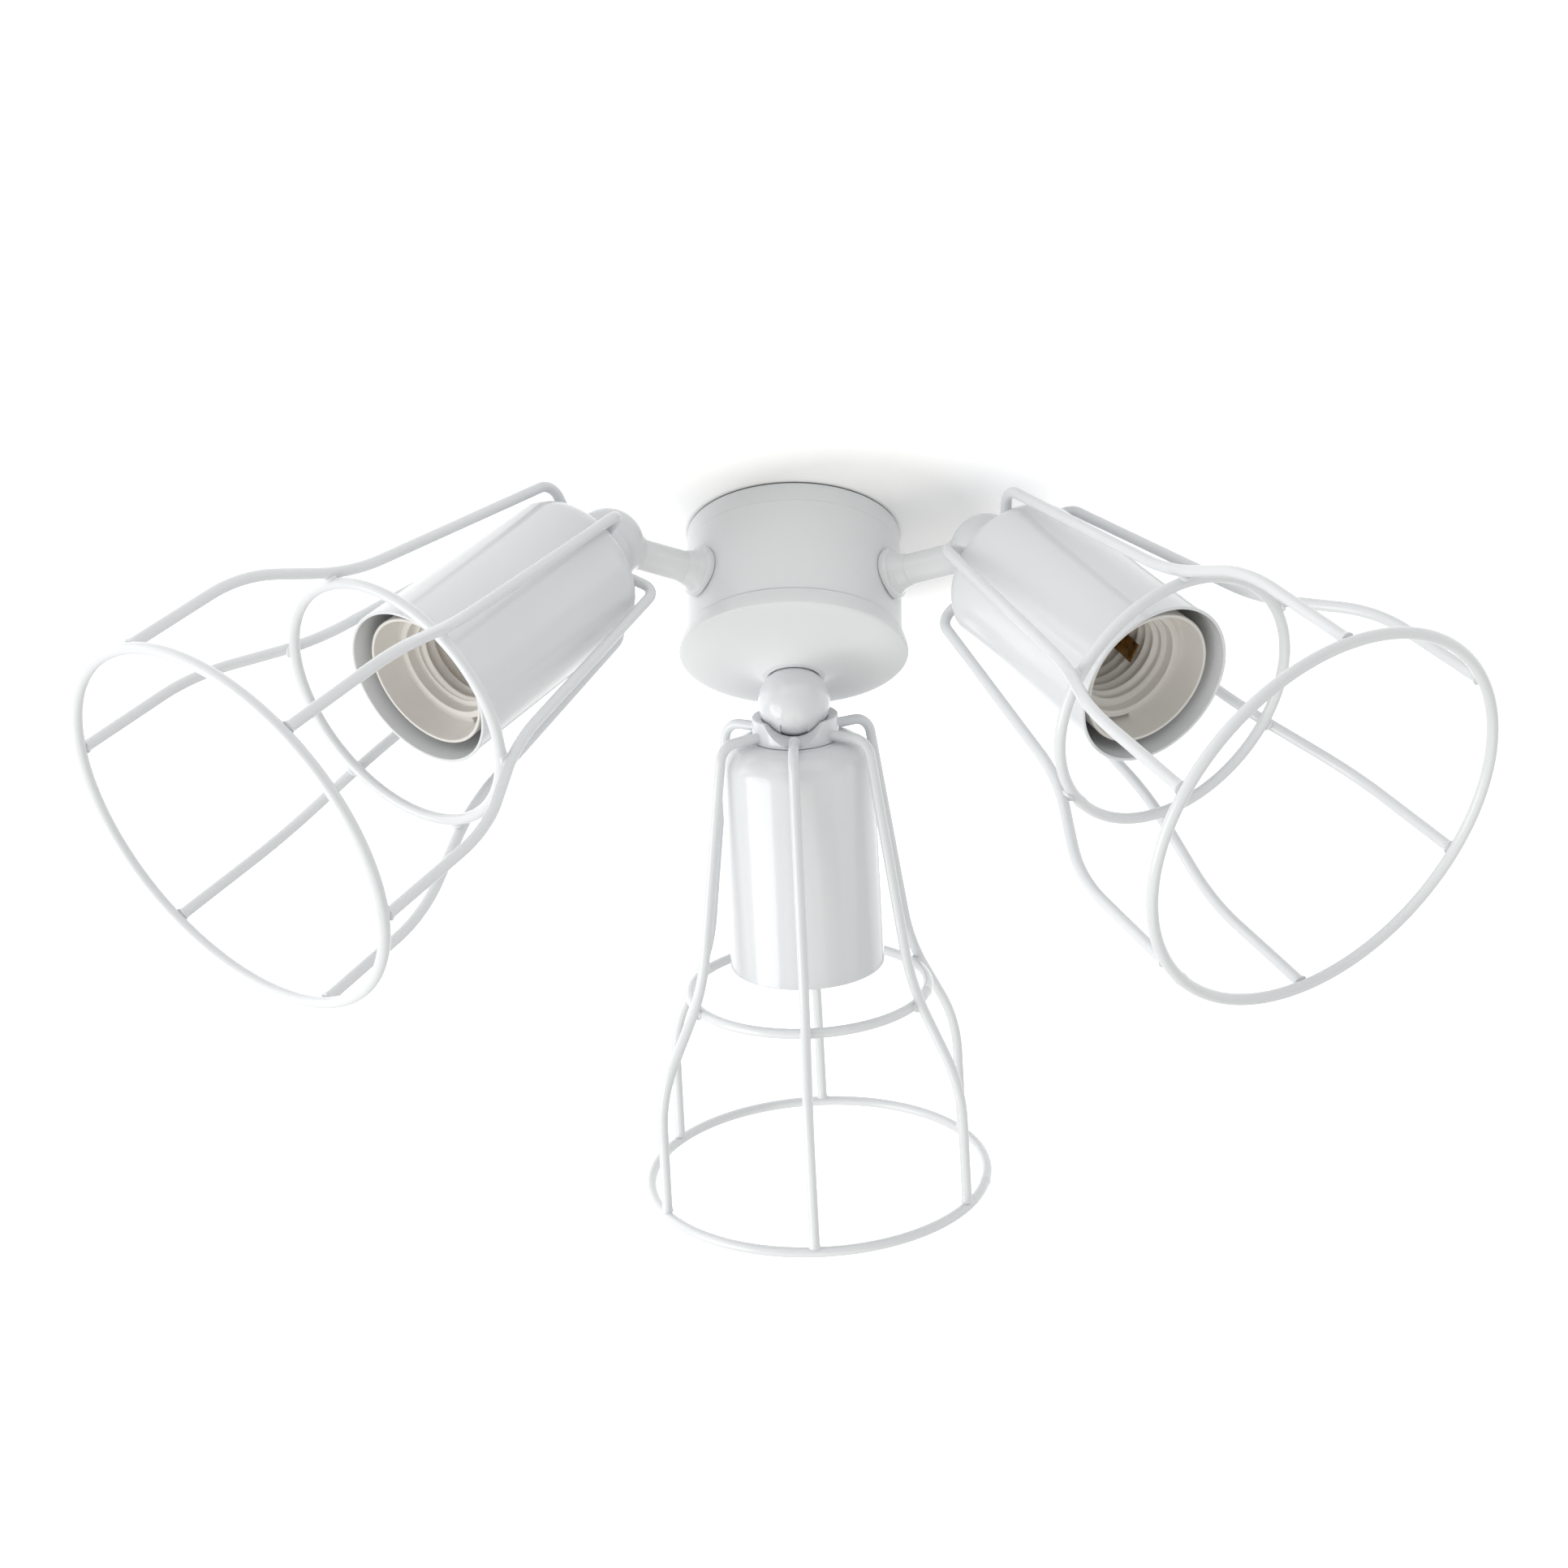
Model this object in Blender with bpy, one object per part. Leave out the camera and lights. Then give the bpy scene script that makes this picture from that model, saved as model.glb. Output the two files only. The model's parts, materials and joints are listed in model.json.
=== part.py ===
"""Ceiling fan light kit: a round hub with two side arms and three adjustable caged lamp heads.

Metres, +Z up, origin at the centre of the hub's top face. The heads hang on ball joints: one at the
end of each arm and one under the middle of the hub's dish. Every piece is one object with its own
material. A lamp's pieces are built along the local +Z axis from the centre of its ball.
"""
import math

import bmesh
import bpy
from mathutils import Matrix, Vector

# Fits shared by all pieces
SEAT_GAP = 0.0003
CUT_OVERRUN = 0.002
SHEET = 0.0012

# Hub
HUB_RADIUS = 0.0352
HUB_HEIGHT = 0.0381
HUB_EDGE_RADIUS = 0.0010
ARM_DROP = 0.0235
PLATE_CLEARANCE = 0.0050
PLATE_THICKNESS = 0.0020
PLATE_BOSS_RADIUS = 0.0085
PLATE_BOSS_DEPTH = 0.0030
PLATE_SCREW_RADIUS = 0.0023
PLATE_SCREW_INSET = 0.0080

# Dish that closes the hub
DISH_LIP = 0.0004
DISH_BULGE = 0.0016
DISH_DEPTH = 0.0091
DISH_SPIGOT_HEIGHT = 0.0040
DISH_BOSS_RADIUS = 0.0092
DISH_BOSS_SPREAD = 0.0054
CENTRE_BALL_DROP = 0.0610
SEAT_RIM_RADIUS = 0.0085

# Terminal block on the plate
BLOCK_WIDTH = 0.0220
BLOCK_DEPTH = 0.0090
BLOCK_HEIGHT = 0.0100
BLOCK_CLEARANCE = 0.0055
BLOCK_EDGE = 0.0006
BLOCK_HOLE_RADIUS = 0.0018
BLOCK_HOLE_PITCH = 0.0070

# Arms, centre nipple and their nuts
STEM_RADIUS = 0.0050
STEM_BORE_RADIUS = 0.0036
STEM_FLANGE_RADIUS = 0.0063
STEM_FLANGE_LENGTH = 0.0011
STEM_FLANGE_TAPER = 0.0006
ARM_REACH = 0.0690
ARM_ANGLES = {"left": 210.0, "right": 330.0}
FLANGE_RADIUS = 0.0083
FLANGE_BASE = 0.0020
FLANGE_STEP_RADIUS = 0.0070
FLANGE_STEP = 0.0017
FLANGE_NECK_RADIUS = 0.0057
FLANGE_LENGTH = 0.0056
NUT_ACROSS_FLATS = 0.0140
NUT_THICKNESS = 0.0030
NUT_EDGE = 0.0004
STEM_PAST_NUT = 0.0012
WINDOW_RADIUS = 0.0024
WINDOW_DROP = 0.0180

# Ball joint
BALL_RADIUS = 0.0116
BALL_WALL = 0.0012
HEAD_STEM_RADIUS = 0.0040
HEAD_STEM_BORE_RADIUS = 0.0028
HEAD_STEM_TOP = 0.0050
HEAD_STEM_SEAT = 0.0058
SLOT_NUT_TOP = 0.0062
COLLAR_RADIUS = 0.0135
COLLAR_TOP = 0.0041
COLLAR_BOTTOM = 0.0108
COLLAR_SEAT_TOP = 0.0070
COLLAR_EDGE = 0.0005
HEAD_NUT_ACROSS_FLATS = 0.0120
HEAD_NUT_THICKNESS = 0.0030

# Cup
CUP_WALL = 0.0010
CUP_BACK_RADIUS = 0.0246
CUP_MOUTH_RADIUS = 0.0255
CUP_SHOULDER = 0.0080
CUP_MOUTH = 0.0895

# Lampholder, an E27 shell with a stepped mouth
HOLDER_RIM = 0.0857
HOLDER_BACK = 0.0400
HOLDER_RADIUS = 0.0210
HOLDER_WAIST_RADIUS = 0.0204
HOLDER_SKIRT_LENGTH = 0.0200
HOLDER_BODY_RADIUS = 0.0172
HOLDER_SHOULDER = 0.0050
HOLDER_BACK_RADIUS = 0.0155
HOLDER_MOUTH_RADIUS = 0.0200
HOLDER_MOUTH_DEPTH = 0.0104
HOLDER_ENTRY_RADIUS = 0.0155
HOLDER_ENTRY_DEPTH = 0.0024
HOLDER_THREAD_RADIUS = 0.0136
HOLDER_FLOOR = 0.0490
CONTACT_RADIUS = 0.0060
CONTACT_THICKNESS = 0.0008
CONTACT_TOP_RADIUS = 0.0032
CONTACT_RISE = 0.0019

# Wire cage
WIRE_RADIUS = 0.0017
WIRE_COUNT = 6
WIRE_START = 0.0089
WIRE_SHOULDER_RADIUS = 0.0268
WIRE_WAIST = 0.0910
WIRE_WAIST_RADIUS = 0.0392
WIRE_FLARE = 0.1240
WIRE_FLARE_RADIUS = 0.0564
SHOULDER_BEND = 0.0060
WAIST_BEND = 0.0700
FLARE_BEND = 0.0500
LARGE_RING = 0.1666
LARGE_RING_RADIUS = 0.0572
MID_RING = 0.0985

# Poses at rest, in degrees, and the tilts that the balls' slots allow
REST_TILT = {"left": 46.8, "centre": 40.9, "right": 50.0}
REST_SWIVEL = {"left": 0.0, "centre": 6.4, "right": -13.0}
CAGE_ROLL = {"left": 39.2, "centre": -1.2, "right": -0.6}
SLOT_TILTS = {"left": (20.0, 68.0), "centre": (0.0, 45.0), "right": (20.0, 68.0)}

# Facets
HUB_SIDES = 36
CUP_SIDES = 24
TURNED_SIDES = 20
BALL_SIDES = 20
BALL_RINGS = 9
SMALL_SIDES = 16
HIDDEN_SIDES = 12
BEND_STEPS = 3
LARGE_RING_SIDES = 30
MID_RING_SIDES = 24
WIRE_ROUNDNESS = 1
SMOOTH_ANGLE = 35.0

WHITE_PAINT = (0.83, 0.84, 0.84)
CREAM_PLASTIC = (0.80, 0.77, 0.70)
ZINC = (0.55, 0.56, 0.58)
BRASS = (0.62, 0.45, 0.20)
GREY_PLASTIC = (0.70, 0.70, 0.68)


def clear_scene():
    for item in list(bpy.data.objects):
        bpy.data.objects.remove(item, do_unlink=True)


def finish_of(piece, colour, roughness, metallic=0.0):
    """Give the piece a Principled material of its own."""
    material = bpy.data.materials.new(piece.name + "_finish")
    material.use_nodes = True
    shader = material.node_tree.nodes["Principled BSDF"]
    shader.inputs["Base Color"].default_value = (*colour, 1.0)
    shader.inputs["Roughness"].default_value = roughness
    shader.inputs["Metallic"].default_value = metallic
    piece.data.materials.append(material)


def painted(piece):
    finish_of(piece, WHITE_PAINT, 0.32)


def zinc_plated(piece):
    finish_of(piece, ZINC, 0.38, 1.0)


def mesh_object(name, body, parent=None):
    """Link a bmesh as a named object, with faces outward and rounded surfaces shaded smooth."""
    bmesh.ops.recalc_face_normals(body, faces=body.faces)
    mesh = bpy.data.meshes.new(name)
    body.to_mesh(mesh)
    body.free()
    mesh.shade_smooth()
    mesh.set_sharp_from_angle(angle=math.radians(SMOOTH_ANGLE))
    piece = bpy.data.objects.new(name, mesh)
    bpy.context.scene.collection.objects.link(piece)
    piece.parent = parent
    return piece


def turned_body(profile, sides):
    """Spin a closed profile of (radius, height) points once round Z; points on the axis merge."""
    body = bmesh.new()
    corners = [body.verts.new((radius, 0.0, height)) for radius, height in profile]
    pairs = zip(corners, corners[1:] + corners[:1])
    edges = [body.edges.new(pair) for pair in pairs if not (pair[0].co.x == 0.0 == pair[1].co.x)]
    bmesh.ops.spin(body, geom=corners + edges, cent=(0.0, 0.0, 0.0), axis=(0.0, 0.0, 1.0),
                   angle=math.tau, steps=sides, use_merge=True)
    bmesh.ops.remove_doubles(body, verts=body.verts, dist=SEAT_GAP / 30)
    return body


def turned(name, profile, sides=TURNED_SIDES, parent=None):
    return mesh_object(name, turned_body(profile, sides), parent)


def arc(centre, radius, first, last, steps):
    """Points of a round stretch of a profile: (radius, height) pairs from angle first to last, in degrees."""
    points = []
    for step in range(steps + 1):
        angle = math.radians(first + (last - first) * step / steps)
        points.append((centre[0] + radius * math.cos(angle), centre[1] + radius * math.sin(angle)))
    return points


def sphere_height(radius, distance):
    """Height above a sphere's centre of its surface at this distance from the axis."""
    return math.sqrt(radius ** 2 - distance ** 2)


def as_cutter(tool):
    tool.hide_render = True
    tool.display_type = "WIRE"
    return tool


def cylinder_cutter(name, radius, length, matrix, parent=None, sides=SMALL_SIDES):
    """A cylinder along local Z, centred on its origin, that cuts other pieces."""
    body = bmesh.new()
    bmesh.ops.create_cone(body, cap_ends=True, segments=sides, radius1=radius, radius2=radius, depth=length)
    tool = mesh_object(name, body, parent)
    tool.matrix_local = matrix
    return as_cutter(tool)


def cut(piece, tool):
    step = piece.modifiers.new("cut_" + tool.name, "BOOLEAN")
    step.operation = "DIFFERENCE"
    step.solver = "EXACT"
    step.object = tool


def hexagon_nut(name, across_flats, thickness, hole_radius, parent=None):
    """A hexagon nut that stands on its local origin, with broken edges and a plain hole."""
    body = bmesh.new()
    corner_radius = across_flats / math.sqrt(3)
    bmesh.ops.create_cone(body, cap_ends=True, segments=6, radius1=corner_radius, radius2=corner_radius,
                          depth=thickness, matrix=Matrix.Translation((0.0, 0.0, thickness / 2)))
    bmesh.ops.bevel(body, geom=body.edges, offset=NUT_EDGE, segments=1, affect="EDGES")
    nut = mesh_object(name, body, parent)
    place = Matrix.Translation((0.0, 0.0, thickness / 2))
    length = thickness + CUT_OVERRUN
    cut(nut, cylinder_cutter(name + "_hole", hole_radius, length, place, nut, HIDDEN_SIDES))
    zinc_plated(nut)
    return nut


def hub_body(arm_frames):
    """Drawn can: closed top, open below, holes for the nipple and for both arms."""
    outer_edge = arc((HUB_RADIUS - HUB_EDGE_RADIUS, -HUB_EDGE_RADIUS), HUB_EDGE_RADIUS, 0, 90, 3)
    hole = STEM_RADIUS + SEAT_GAP
    profile = [(HUB_RADIUS, -HUB_HEIGHT), *outer_edge, (hole, 0.0), (hole, -SHEET),
               (HUB_RADIUS - SHEET, -SHEET), (HUB_RADIUS - SHEET, -HUB_HEIGHT)]
    body = turned("hub_body", profile, HUB_SIDES)
    for side, frame in arm_frames.items():
        place = frame @ Matrix.Translation((0.0, 0.0, HUB_RADIUS))
        cut(body, cylinder_cutter("arm_hole_" + side, STEM_RADIUS + SEAT_GAP, HUB_RADIUS, place))
    painted(body)


def mounting_plate():
    """Steel disc under the can's top, with a tapped boss for the nipple and two screw holes."""
    top = -SHEET - SEAT_GAP
    under = top - PLATE_THICKNESS
    edge = HUB_RADIUS - SHEET - PLATE_CLEARANCE
    hole = STEM_RADIUS + SEAT_GAP
    profile = [(edge, under), (edge, top), (hole, top), (hole, under - PLATE_BOSS_DEPTH),
               (PLATE_BOSS_RADIUS, under - PLATE_BOSS_DEPTH), (PLATE_BOSS_RADIUS, under)]
    plate = turned("mounting_plate", profile)
    length = PLATE_THICKNESS + CUT_OVERRUN
    for direction, label in ((-1, "left"), (1, "right")):
        distance = direction * (edge - PLATE_SCREW_INSET)
        place = Matrix.Translation((distance, 0.0, top - PLATE_THICKNESS / 2))
        tool = cylinder_cutter("plate_screw_hole_" + label, PLATE_SCREW_RADIUS, length, place, None, HIDDEN_SIDES)
        cut(plate, tool)
    zinc_plated(plate)


def terminal_block():
    """Connector under the plate, on the side away from the arms, with three wire ways."""
    top = -SHEET - PLATE_THICKNESS - 2 * SEAT_GAP
    offset = PLATE_BOSS_RADIUS + BLOCK_CLEARANCE + BLOCK_DEPTH / 2
    body = bmesh.new()
    size = Matrix.Diagonal((BLOCK_WIDTH, BLOCK_DEPTH, BLOCK_HEIGHT, 1.0))
    place = Matrix.Translation((0.0, offset, top - BLOCK_HEIGHT / 2))
    bmesh.ops.create_cube(body, size=1.0, matrix=place @ size)
    bmesh.ops.bevel(body, geom=body.edges, offset=BLOCK_EDGE, segments=1, affect="EDGES")
    block = mesh_object("terminal_block", body)
    across = Matrix.Rotation(math.radians(90.0), 4, "X")
    length = BLOCK_DEPTH + CUT_OVERRUN
    for way in (-1, 0, 1):
        place = Matrix.Translation((way * BLOCK_HOLE_PITCH, offset, top - BLOCK_HEIGHT / 2)) @ across
        name = "wire_way_" + str(way + 2)
        cut(block, cylinder_cutter(name, BLOCK_HOLE_RADIUS, length, place, None, HIDDEN_SIDES))
    finish_of(block, GREY_PLASTIC, 0.5)


def dish_cap():
    """Spun dish: a spigot in the can, a bulged rim, a flat face and a boss that seats the centre ball."""
    seam = -HUB_HEIGHT - SEAT_GAP
    face = seam - DISH_DEPTH
    spigot = HUB_RADIUS - SHEET - SEAT_GAP
    lip = HUB_RADIUS + DISH_LIP
    rim_shares = ((0.0, 0.0), (0.45, 0.13), (0.85, 0.29), (1.0, 0.44), (0.8, 0.62), (0.15, 0.76), (-0.9, 0.84))
    rim = [(lip + DISH_BULGE * out, seam - DISH_DEPTH * down) for out, down in rim_shares]
    face_shares = ((0.78, 0.91), (0.58, 0.96))
    dome = [(lip * out, seam - DISH_DEPTH * down) for out, down in face_shares]
    seat_radius = BALL_RADIUS + SEAT_GAP
    rim_height = sphere_height(seat_radius, SEAT_RIM_RADIUS) - CENTRE_BALL_DROP
    boss_depth = face - rim_height
    boss_shares = ((1.0, 0.0), (0.45, 0.16), (0.1, 0.5))
    boss = [(DISH_BOSS_RADIUS + DISH_BOSS_SPREAD * out, face - boss_depth * down) for out, down in boss_shares]
    hole = STEM_RADIUS + SEAT_GAP
    seat = [(distance, sphere_height(seat_radius, distance) - CENTRE_BALL_DROP)
            for distance in (SEAT_RIM_RADIUS, hole)]
    inner_floor = face + SHEET
    inner_shares = ((0.6, 1.0), (0.9, 0.6), (0.94, 0.3))
    inner = [(spigot * out, seam - (DISH_DEPTH - SHEET) * down) for out, down in inner_shares]
    top = seam + DISH_SPIGOT_HEIGHT
    profile = [(spigot, top), (spigot, seam), *rim, *dome, *boss, (DISH_BOSS_RADIUS, rim_height), *seat,
               (hole, inner_floor), *inner, (spigot - SHEET, seam), (spigot - SHEET, top)]
    painted(turned("dish_cap", profile, HUB_SIDES))


def stem_profile(start, ball_distance, direction=1):
    """Hollow stem from height start to inside a ball, where its end spreads into a flange."""
    tip = ball_distance - sphere_height(BALL_RADIUS - BALL_WALL, STEM_FLANGE_RADIUS) + 2 * SEAT_GAP
    end = tip + STEM_FLANGE_LENGTH
    points = [(STEM_BORE_RADIUS, start), (STEM_RADIUS, start), (STEM_RADIUS, tip - STEM_FLANGE_TAPER),
              (STEM_FLANGE_RADIUS, tip), (STEM_FLANGE_RADIUS, end), (STEM_BORE_RADIUS, end)]
    return [(radius, direction * height) for radius, height in points]


def centre_nipple():
    """Threaded stem from the can's top to the centre ball, with a window that lets the wires out."""
    nipple = turned("centre_nipple", stem_profile(SEAT_GAP, CENTRE_BALL_DROP, -1), HIDDEN_SIDES)
    across = Matrix.Rotation(math.radians(90.0), 4, "X")
    place = Matrix.Translation((0.0, STEM_RADIUS, -WINDOW_DROP)) @ across
    tool = cylinder_cutter("wire_window", WINDOW_RADIUS, 2 * STEM_BORE_RADIUS, place, None, HIDDEN_SIDES)
    cut(nipple, tool)
    zinc_plated(nipple)


def dish_nut():
    inner_floor = -HUB_HEIGHT - SEAT_GAP - DISH_DEPTH + SHEET
    nut = hexagon_nut("dish_nut", NUT_ACROSS_FLATS, NUT_THICKNESS, STEM_RADIUS + SEAT_GAP)
    nut.location = (0.0, 0.0, inner_floor + SEAT_GAP)


def arm(side, frame):
    """Arm tube, its turned flange on the can, and the nut inside."""
    inner_wall = HUB_RADIUS - SHEET
    nut_corner = NUT_ACROSS_FLATS / math.sqrt(3)
    nut_face = sphere_height(inner_wall, nut_corner) - SEAT_GAP
    start = nut_face - NUT_THICKNESS - STEM_PAST_NUT
    pivot = bpy.data.objects.new("arm_frame_" + side, None)
    pivot.matrix_world = frame
    bpy.context.scene.collection.objects.link(pivot)
    tube = turned("arm_tube_" + side, stem_profile(start, ARM_REACH), SMALL_SIDES, pivot)
    painted(tube)
    nut = hexagon_nut("arm_nut_" + side, NUT_ACROSS_FLATS, NUT_THICKNESS, STEM_RADIUS + SEAT_GAP, pivot)
    nut.location = (0.0, 0.0, nut_face - NUT_THICKNESS)
    hole = STEM_RADIUS + SEAT_GAP
    base = HUB_RADIUS + FLANGE_BASE
    step = base + FLANGE_STEP
    end = HUB_RADIUS + FLANGE_LENGTH
    neck = arc((FLANGE_STEP_RADIUS, end), FLANGE_STEP_RADIUS - FLANGE_NECK_RADIUS, 235, 180, 3)
    root = HUB_RADIUS - FLANGE_BASE
    profile = [(hole, root), (FLANGE_RADIUS, root), (FLANGE_RADIUS, base - FLANGE_BASE / 4),
               (FLANGE_RADIUS - FLANGE_BASE / 4, base), (FLANGE_STEP_RADIUS, base),
               (FLANGE_STEP_RADIUS, step), *neck, (hole, end)]
    flange = turned("arm_flange_" + side, profile, TURNED_SIDES, pivot)
    upright = frame.inverted() @ Matrix.Translation((0.0, 0.0, -ARM_DROP))
    saddle = cylinder_cutter("flange_saddle_" + side, HUB_RADIUS + SEAT_GAP, HUB_HEIGHT, upright, pivot,
                             HUB_SIDES)
    cut(flange, saddle)
    painted(flange)


def slot_outline(tilts):
    """Outline of a ball's tilt slot, in the plane of the tilt: the strip that the stem sweeps."""
    half = HEAD_STEM_RADIUS + SEAT_GAP
    near = HEAD_STEM_TOP
    far = BALL_RADIUS + CUT_OVERRUN
    steps = 6
    low, high = (math.radians(tilt) for tilt in tilts)
    points = [(math.sin(low) * near - math.cos(low) * half, math.cos(low) * near + math.sin(low) * half),
              (math.sin(low) * far - math.cos(low) * half, math.cos(low) * far + math.sin(low) * half)]
    for step in range(1, steps):
        angle = low + (high - low) * step / steps
        points.append((math.sin(angle) * far, math.cos(angle) * far))
    points.append((math.sin(high) * far + math.cos(high) * half, math.cos(high) * far - math.sin(high) * half))
    points.append((math.sin(high) * near + math.cos(high) * half, math.cos(high) * near - math.sin(high) * half))
    return points


def ball(side, swivel):
    """Hollow ball: a stem hole towards the arm and a slot that the head's stem tilts in."""
    inner = BALL_RADIUS - BALL_WALL
    hole = STEM_RADIUS + SEAT_GAP
    first = -math.degrees(math.acos(hole / BALL_RADIUS))
    first_inner = -math.degrees(math.acos(hole / inner))
    outside = arc((0.0, 0.0), BALL_RADIUS, first, 90, BALL_RINGS)
    inside = arc((0.0, 0.0), inner, 90, first_inner, BALL_RINGS - 1)
    outside[-1] = (0.0, BALL_RADIUS)
    inside[0] = (0.0, inner)
    piece = turned("ball_" + side, outside + inside, BALL_SIDES, swivel)
    half = HEAD_STEM_RADIUS + SEAT_GAP
    body = bmesh.new()
    corners = [body.verts.new((x, -half, z)) for x, z in slot_outline(SLOT_TILTS[side])]
    face = body.faces.new(corners)
    swept = bmesh.ops.extrude_face_region(body, geom=[face])
    moved = [item for item in swept["geom"] if isinstance(item, bmesh.types.BMVert)]
    bmesh.ops.translate(body, verts=moved, vec=(0.0, 2 * half, 0.0))
    cut(piece, as_cutter(mesh_object("slot_" + side, body, swivel)))
    painted(piece)


def slot_nut(side, tilt):
    """Lens-shaped nut inside the ball: its round back slides on the ball's inner wall."""
    radius = BALL_RADIUS - BALL_WALL - SEAT_GAP
    hole = HEAD_STEM_RADIUS + SEAT_GAP
    first = math.degrees(math.asin(SLOT_NUT_TOP / radius))
    last = math.degrees(math.acos(hole / radius))
    profile = [(hole, SLOT_NUT_TOP), *arc((0.0, 0.0), radius, first, last, 3)]
    zinc_plated(turned("slot_nut_" + side, profile, HIDDEN_SIDES, tilt))


def cup_back():
    return COLLAR_BOTTOM + SEAT_GAP


def head_nipple(side, tilt):
    start = HEAD_STEM_TOP
    end = HOLDER_BACK + HEAD_STEM_SEAT
    profile = [(HEAD_STEM_BORE_RADIUS, start), (HEAD_STEM_RADIUS, start), (HEAD_STEM_RADIUS, end),
               (HEAD_STEM_BORE_RADIUS, end)]
    zinc_plated(turned("head_nipple_" + side, profile, HIDDEN_SIDES, tilt))
    nut = hexagon_nut("head_nut_" + side, HEAD_NUT_ACROSS_FLATS, HEAD_NUT_THICKNESS,
                      HEAD_STEM_RADIUS + SEAT_GAP, tilt)
    nut.location = (0.0, 0.0, cup_back() + CUP_WALL + SEAT_GAP)


def collar(side, tilt):
    """Socket ring: a cone leads in to the ball's round seat; the cage wires are welded to its side."""
    seat_radius = BALL_RADIUS + SEAT_GAP
    seat_top = math.degrees(math.asin(COLLAR_SEAT_TOP / seat_radius))
    floor = math.degrees(math.asin(COLLAR_BOTTOM / seat_radius))
    edge = COLLAR_EDGE
    profile = [*arc((0.0, 0.0), seat_radius, floor, seat_top, 3), (COLLAR_RADIUS - edge, COLLAR_TOP),
               (COLLAR_RADIUS, COLLAR_TOP + edge), (COLLAR_RADIUS, COLLAR_BOTTOM)]
    painted(turned("collar_" + side, profile, TURNED_SIDES, tilt))


def cup(side, tilt):
    """Turned cup: flat back, round shoulder, side that opens a little towards the mouth."""
    back = cup_back()
    hole = HEAD_STEM_RADIUS + SEAT_GAP
    corner = (CUP_BACK_RADIUS - CUP_SHOULDER, back + CUP_SHOULDER)
    outside = arc(corner, CUP_SHOULDER, -90, 0, 4)
    inside = arc(corner, CUP_SHOULDER - CUP_WALL, 0, -90, 2)
    profile = [(hole, back), *outside, (CUP_MOUTH_RADIUS, CUP_MOUTH),
               (CUP_MOUTH_RADIUS - CUP_WALL, CUP_MOUTH), *inside, (hole, back + CUP_WALL)]
    painted(turned("cup_" + side, profile, CUP_SIDES, tilt))


def lampholder(side, tilt):
    """E27 lampholder: skirt with a stepped mouth, threaded bore, closed back with the stem hole."""
    rim = HOLDER_RIM
    ledge = rim - HOLDER_MOUTH_DEPTH
    thread = ledge - HOLDER_ENTRY_DEPTH
    waist = rim - HOLDER_SKIRT_LENGTH
    hole = HEAD_STEM_RADIUS + SEAT_GAP
    seat = HOLDER_BACK + HEAD_STEM_SEAT + SEAT_GAP
    profile = [(hole, HOLDER_BACK), (HOLDER_BACK_RADIUS, HOLDER_BACK), (HOLDER_BODY_RADIUS, waist - HOLDER_SHOULDER),
               (HOLDER_WAIST_RADIUS, waist), (HOLDER_RADIUS, rim), (HOLDER_MOUTH_RADIUS, rim),
               (HOLDER_MOUTH_RADIUS, ledge), (HOLDER_ENTRY_RADIUS, ledge), (HOLDER_ENTRY_RADIUS, thread),
               (HOLDER_THREAD_RADIUS, thread), (HOLDER_THREAD_RADIUS, HOLDER_FLOOR),
               (HEAD_STEM_BORE_RADIUS, HOLDER_FLOOR), (HEAD_STEM_BORE_RADIUS, seat), (hole, seat)]
    piece = turned("lampholder_" + side, profile, TURNED_SIDES, tilt)
    finish_of(piece, CREAM_PLASTIC, 0.45)
    base = HOLDER_FLOOR + SEAT_GAP
    top = base + CONTACT_THICKNESS
    contact_profile = [(0.0, base), (CONTACT_RADIUS, base), (CONTACT_RADIUS, top),
                       (CONTACT_TOP_RADIUS, top + CONTACT_RISE), (0.0, top + CONTACT_RISE)]
    contact = turned("centre_contact_" + side, contact_profile, SMALL_SIDES, tilt)
    finish_of(contact, BRASS, 0.35, 1.0)


def rounded_path(corners, bends):
    """Path through (radius, height) corners with each inner corner rounded to its bend radius."""
    points = [corners[0]]
    for before, corner, after, bend in zip(corners, corners[1:], corners[2:], bends):
        before, corner, after = Vector(before), Vector(corner), Vector(after)
        inward = (before - corner).normalized()
        onward = (after - corner).normalized()
        half_turn = inward.angle(onward) / 2
        centre = corner + (inward + onward).normalized() * bend / math.sin(half_turn)
        start = corner + inward * bend / math.tan(half_turn) - centre
        end = corner + onward * bend / math.tan(half_turn) - centre
        first = math.degrees(math.atan2(start.y, start.x))
        turn = math.degrees(end.angle_signed(start))
        points.extend(arc(centre, bend, first, first + turn, BEND_STEPS))
    points.append(corners[-1])
    return points


def wire_path():
    """Centre line of a cage wire: radially out of the collar, along the cup, then out over the flare."""
    end = LARGE_RING - WIRE_RADIUS - SEAT_GAP
    corners = [(COLLAR_RADIUS + SEAT_GAP, WIRE_START), (WIRE_SHOULDER_RADIUS, WIRE_START),
               (WIRE_WAIST_RADIUS, WIRE_WAIST), (WIRE_FLARE_RADIUS, WIRE_FLARE), (LARGE_RING_RADIUS, end)]
    return rounded_path(corners, (SHOULDER_BEND, WAIST_BEND, FLARE_BEND))


def mid_ring_radius(path):
    """Radius at which the mid ring touches the wires from inside, a seat gap away."""
    reach = 2 * WIRE_RADIUS + SEAT_GAP
    height = MID_RING
    radii = []
    for (low_radius, low), (high_radius, high) in zip(path, path[1:]):
        if high - low <= 0.0 or high < height - reach or low > height + reach:
            continue
        samples = 20
        for sample in range(samples + 1):
            share = sample / samples
            offset = low + (high - low) * share - height
            if abs(offset) < reach:
                wire_radius = low_radius + (high_radius - low_radius) * share
                radii.append(wire_radius - sphere_height(reach, offset))
    return min(radii)


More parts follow.
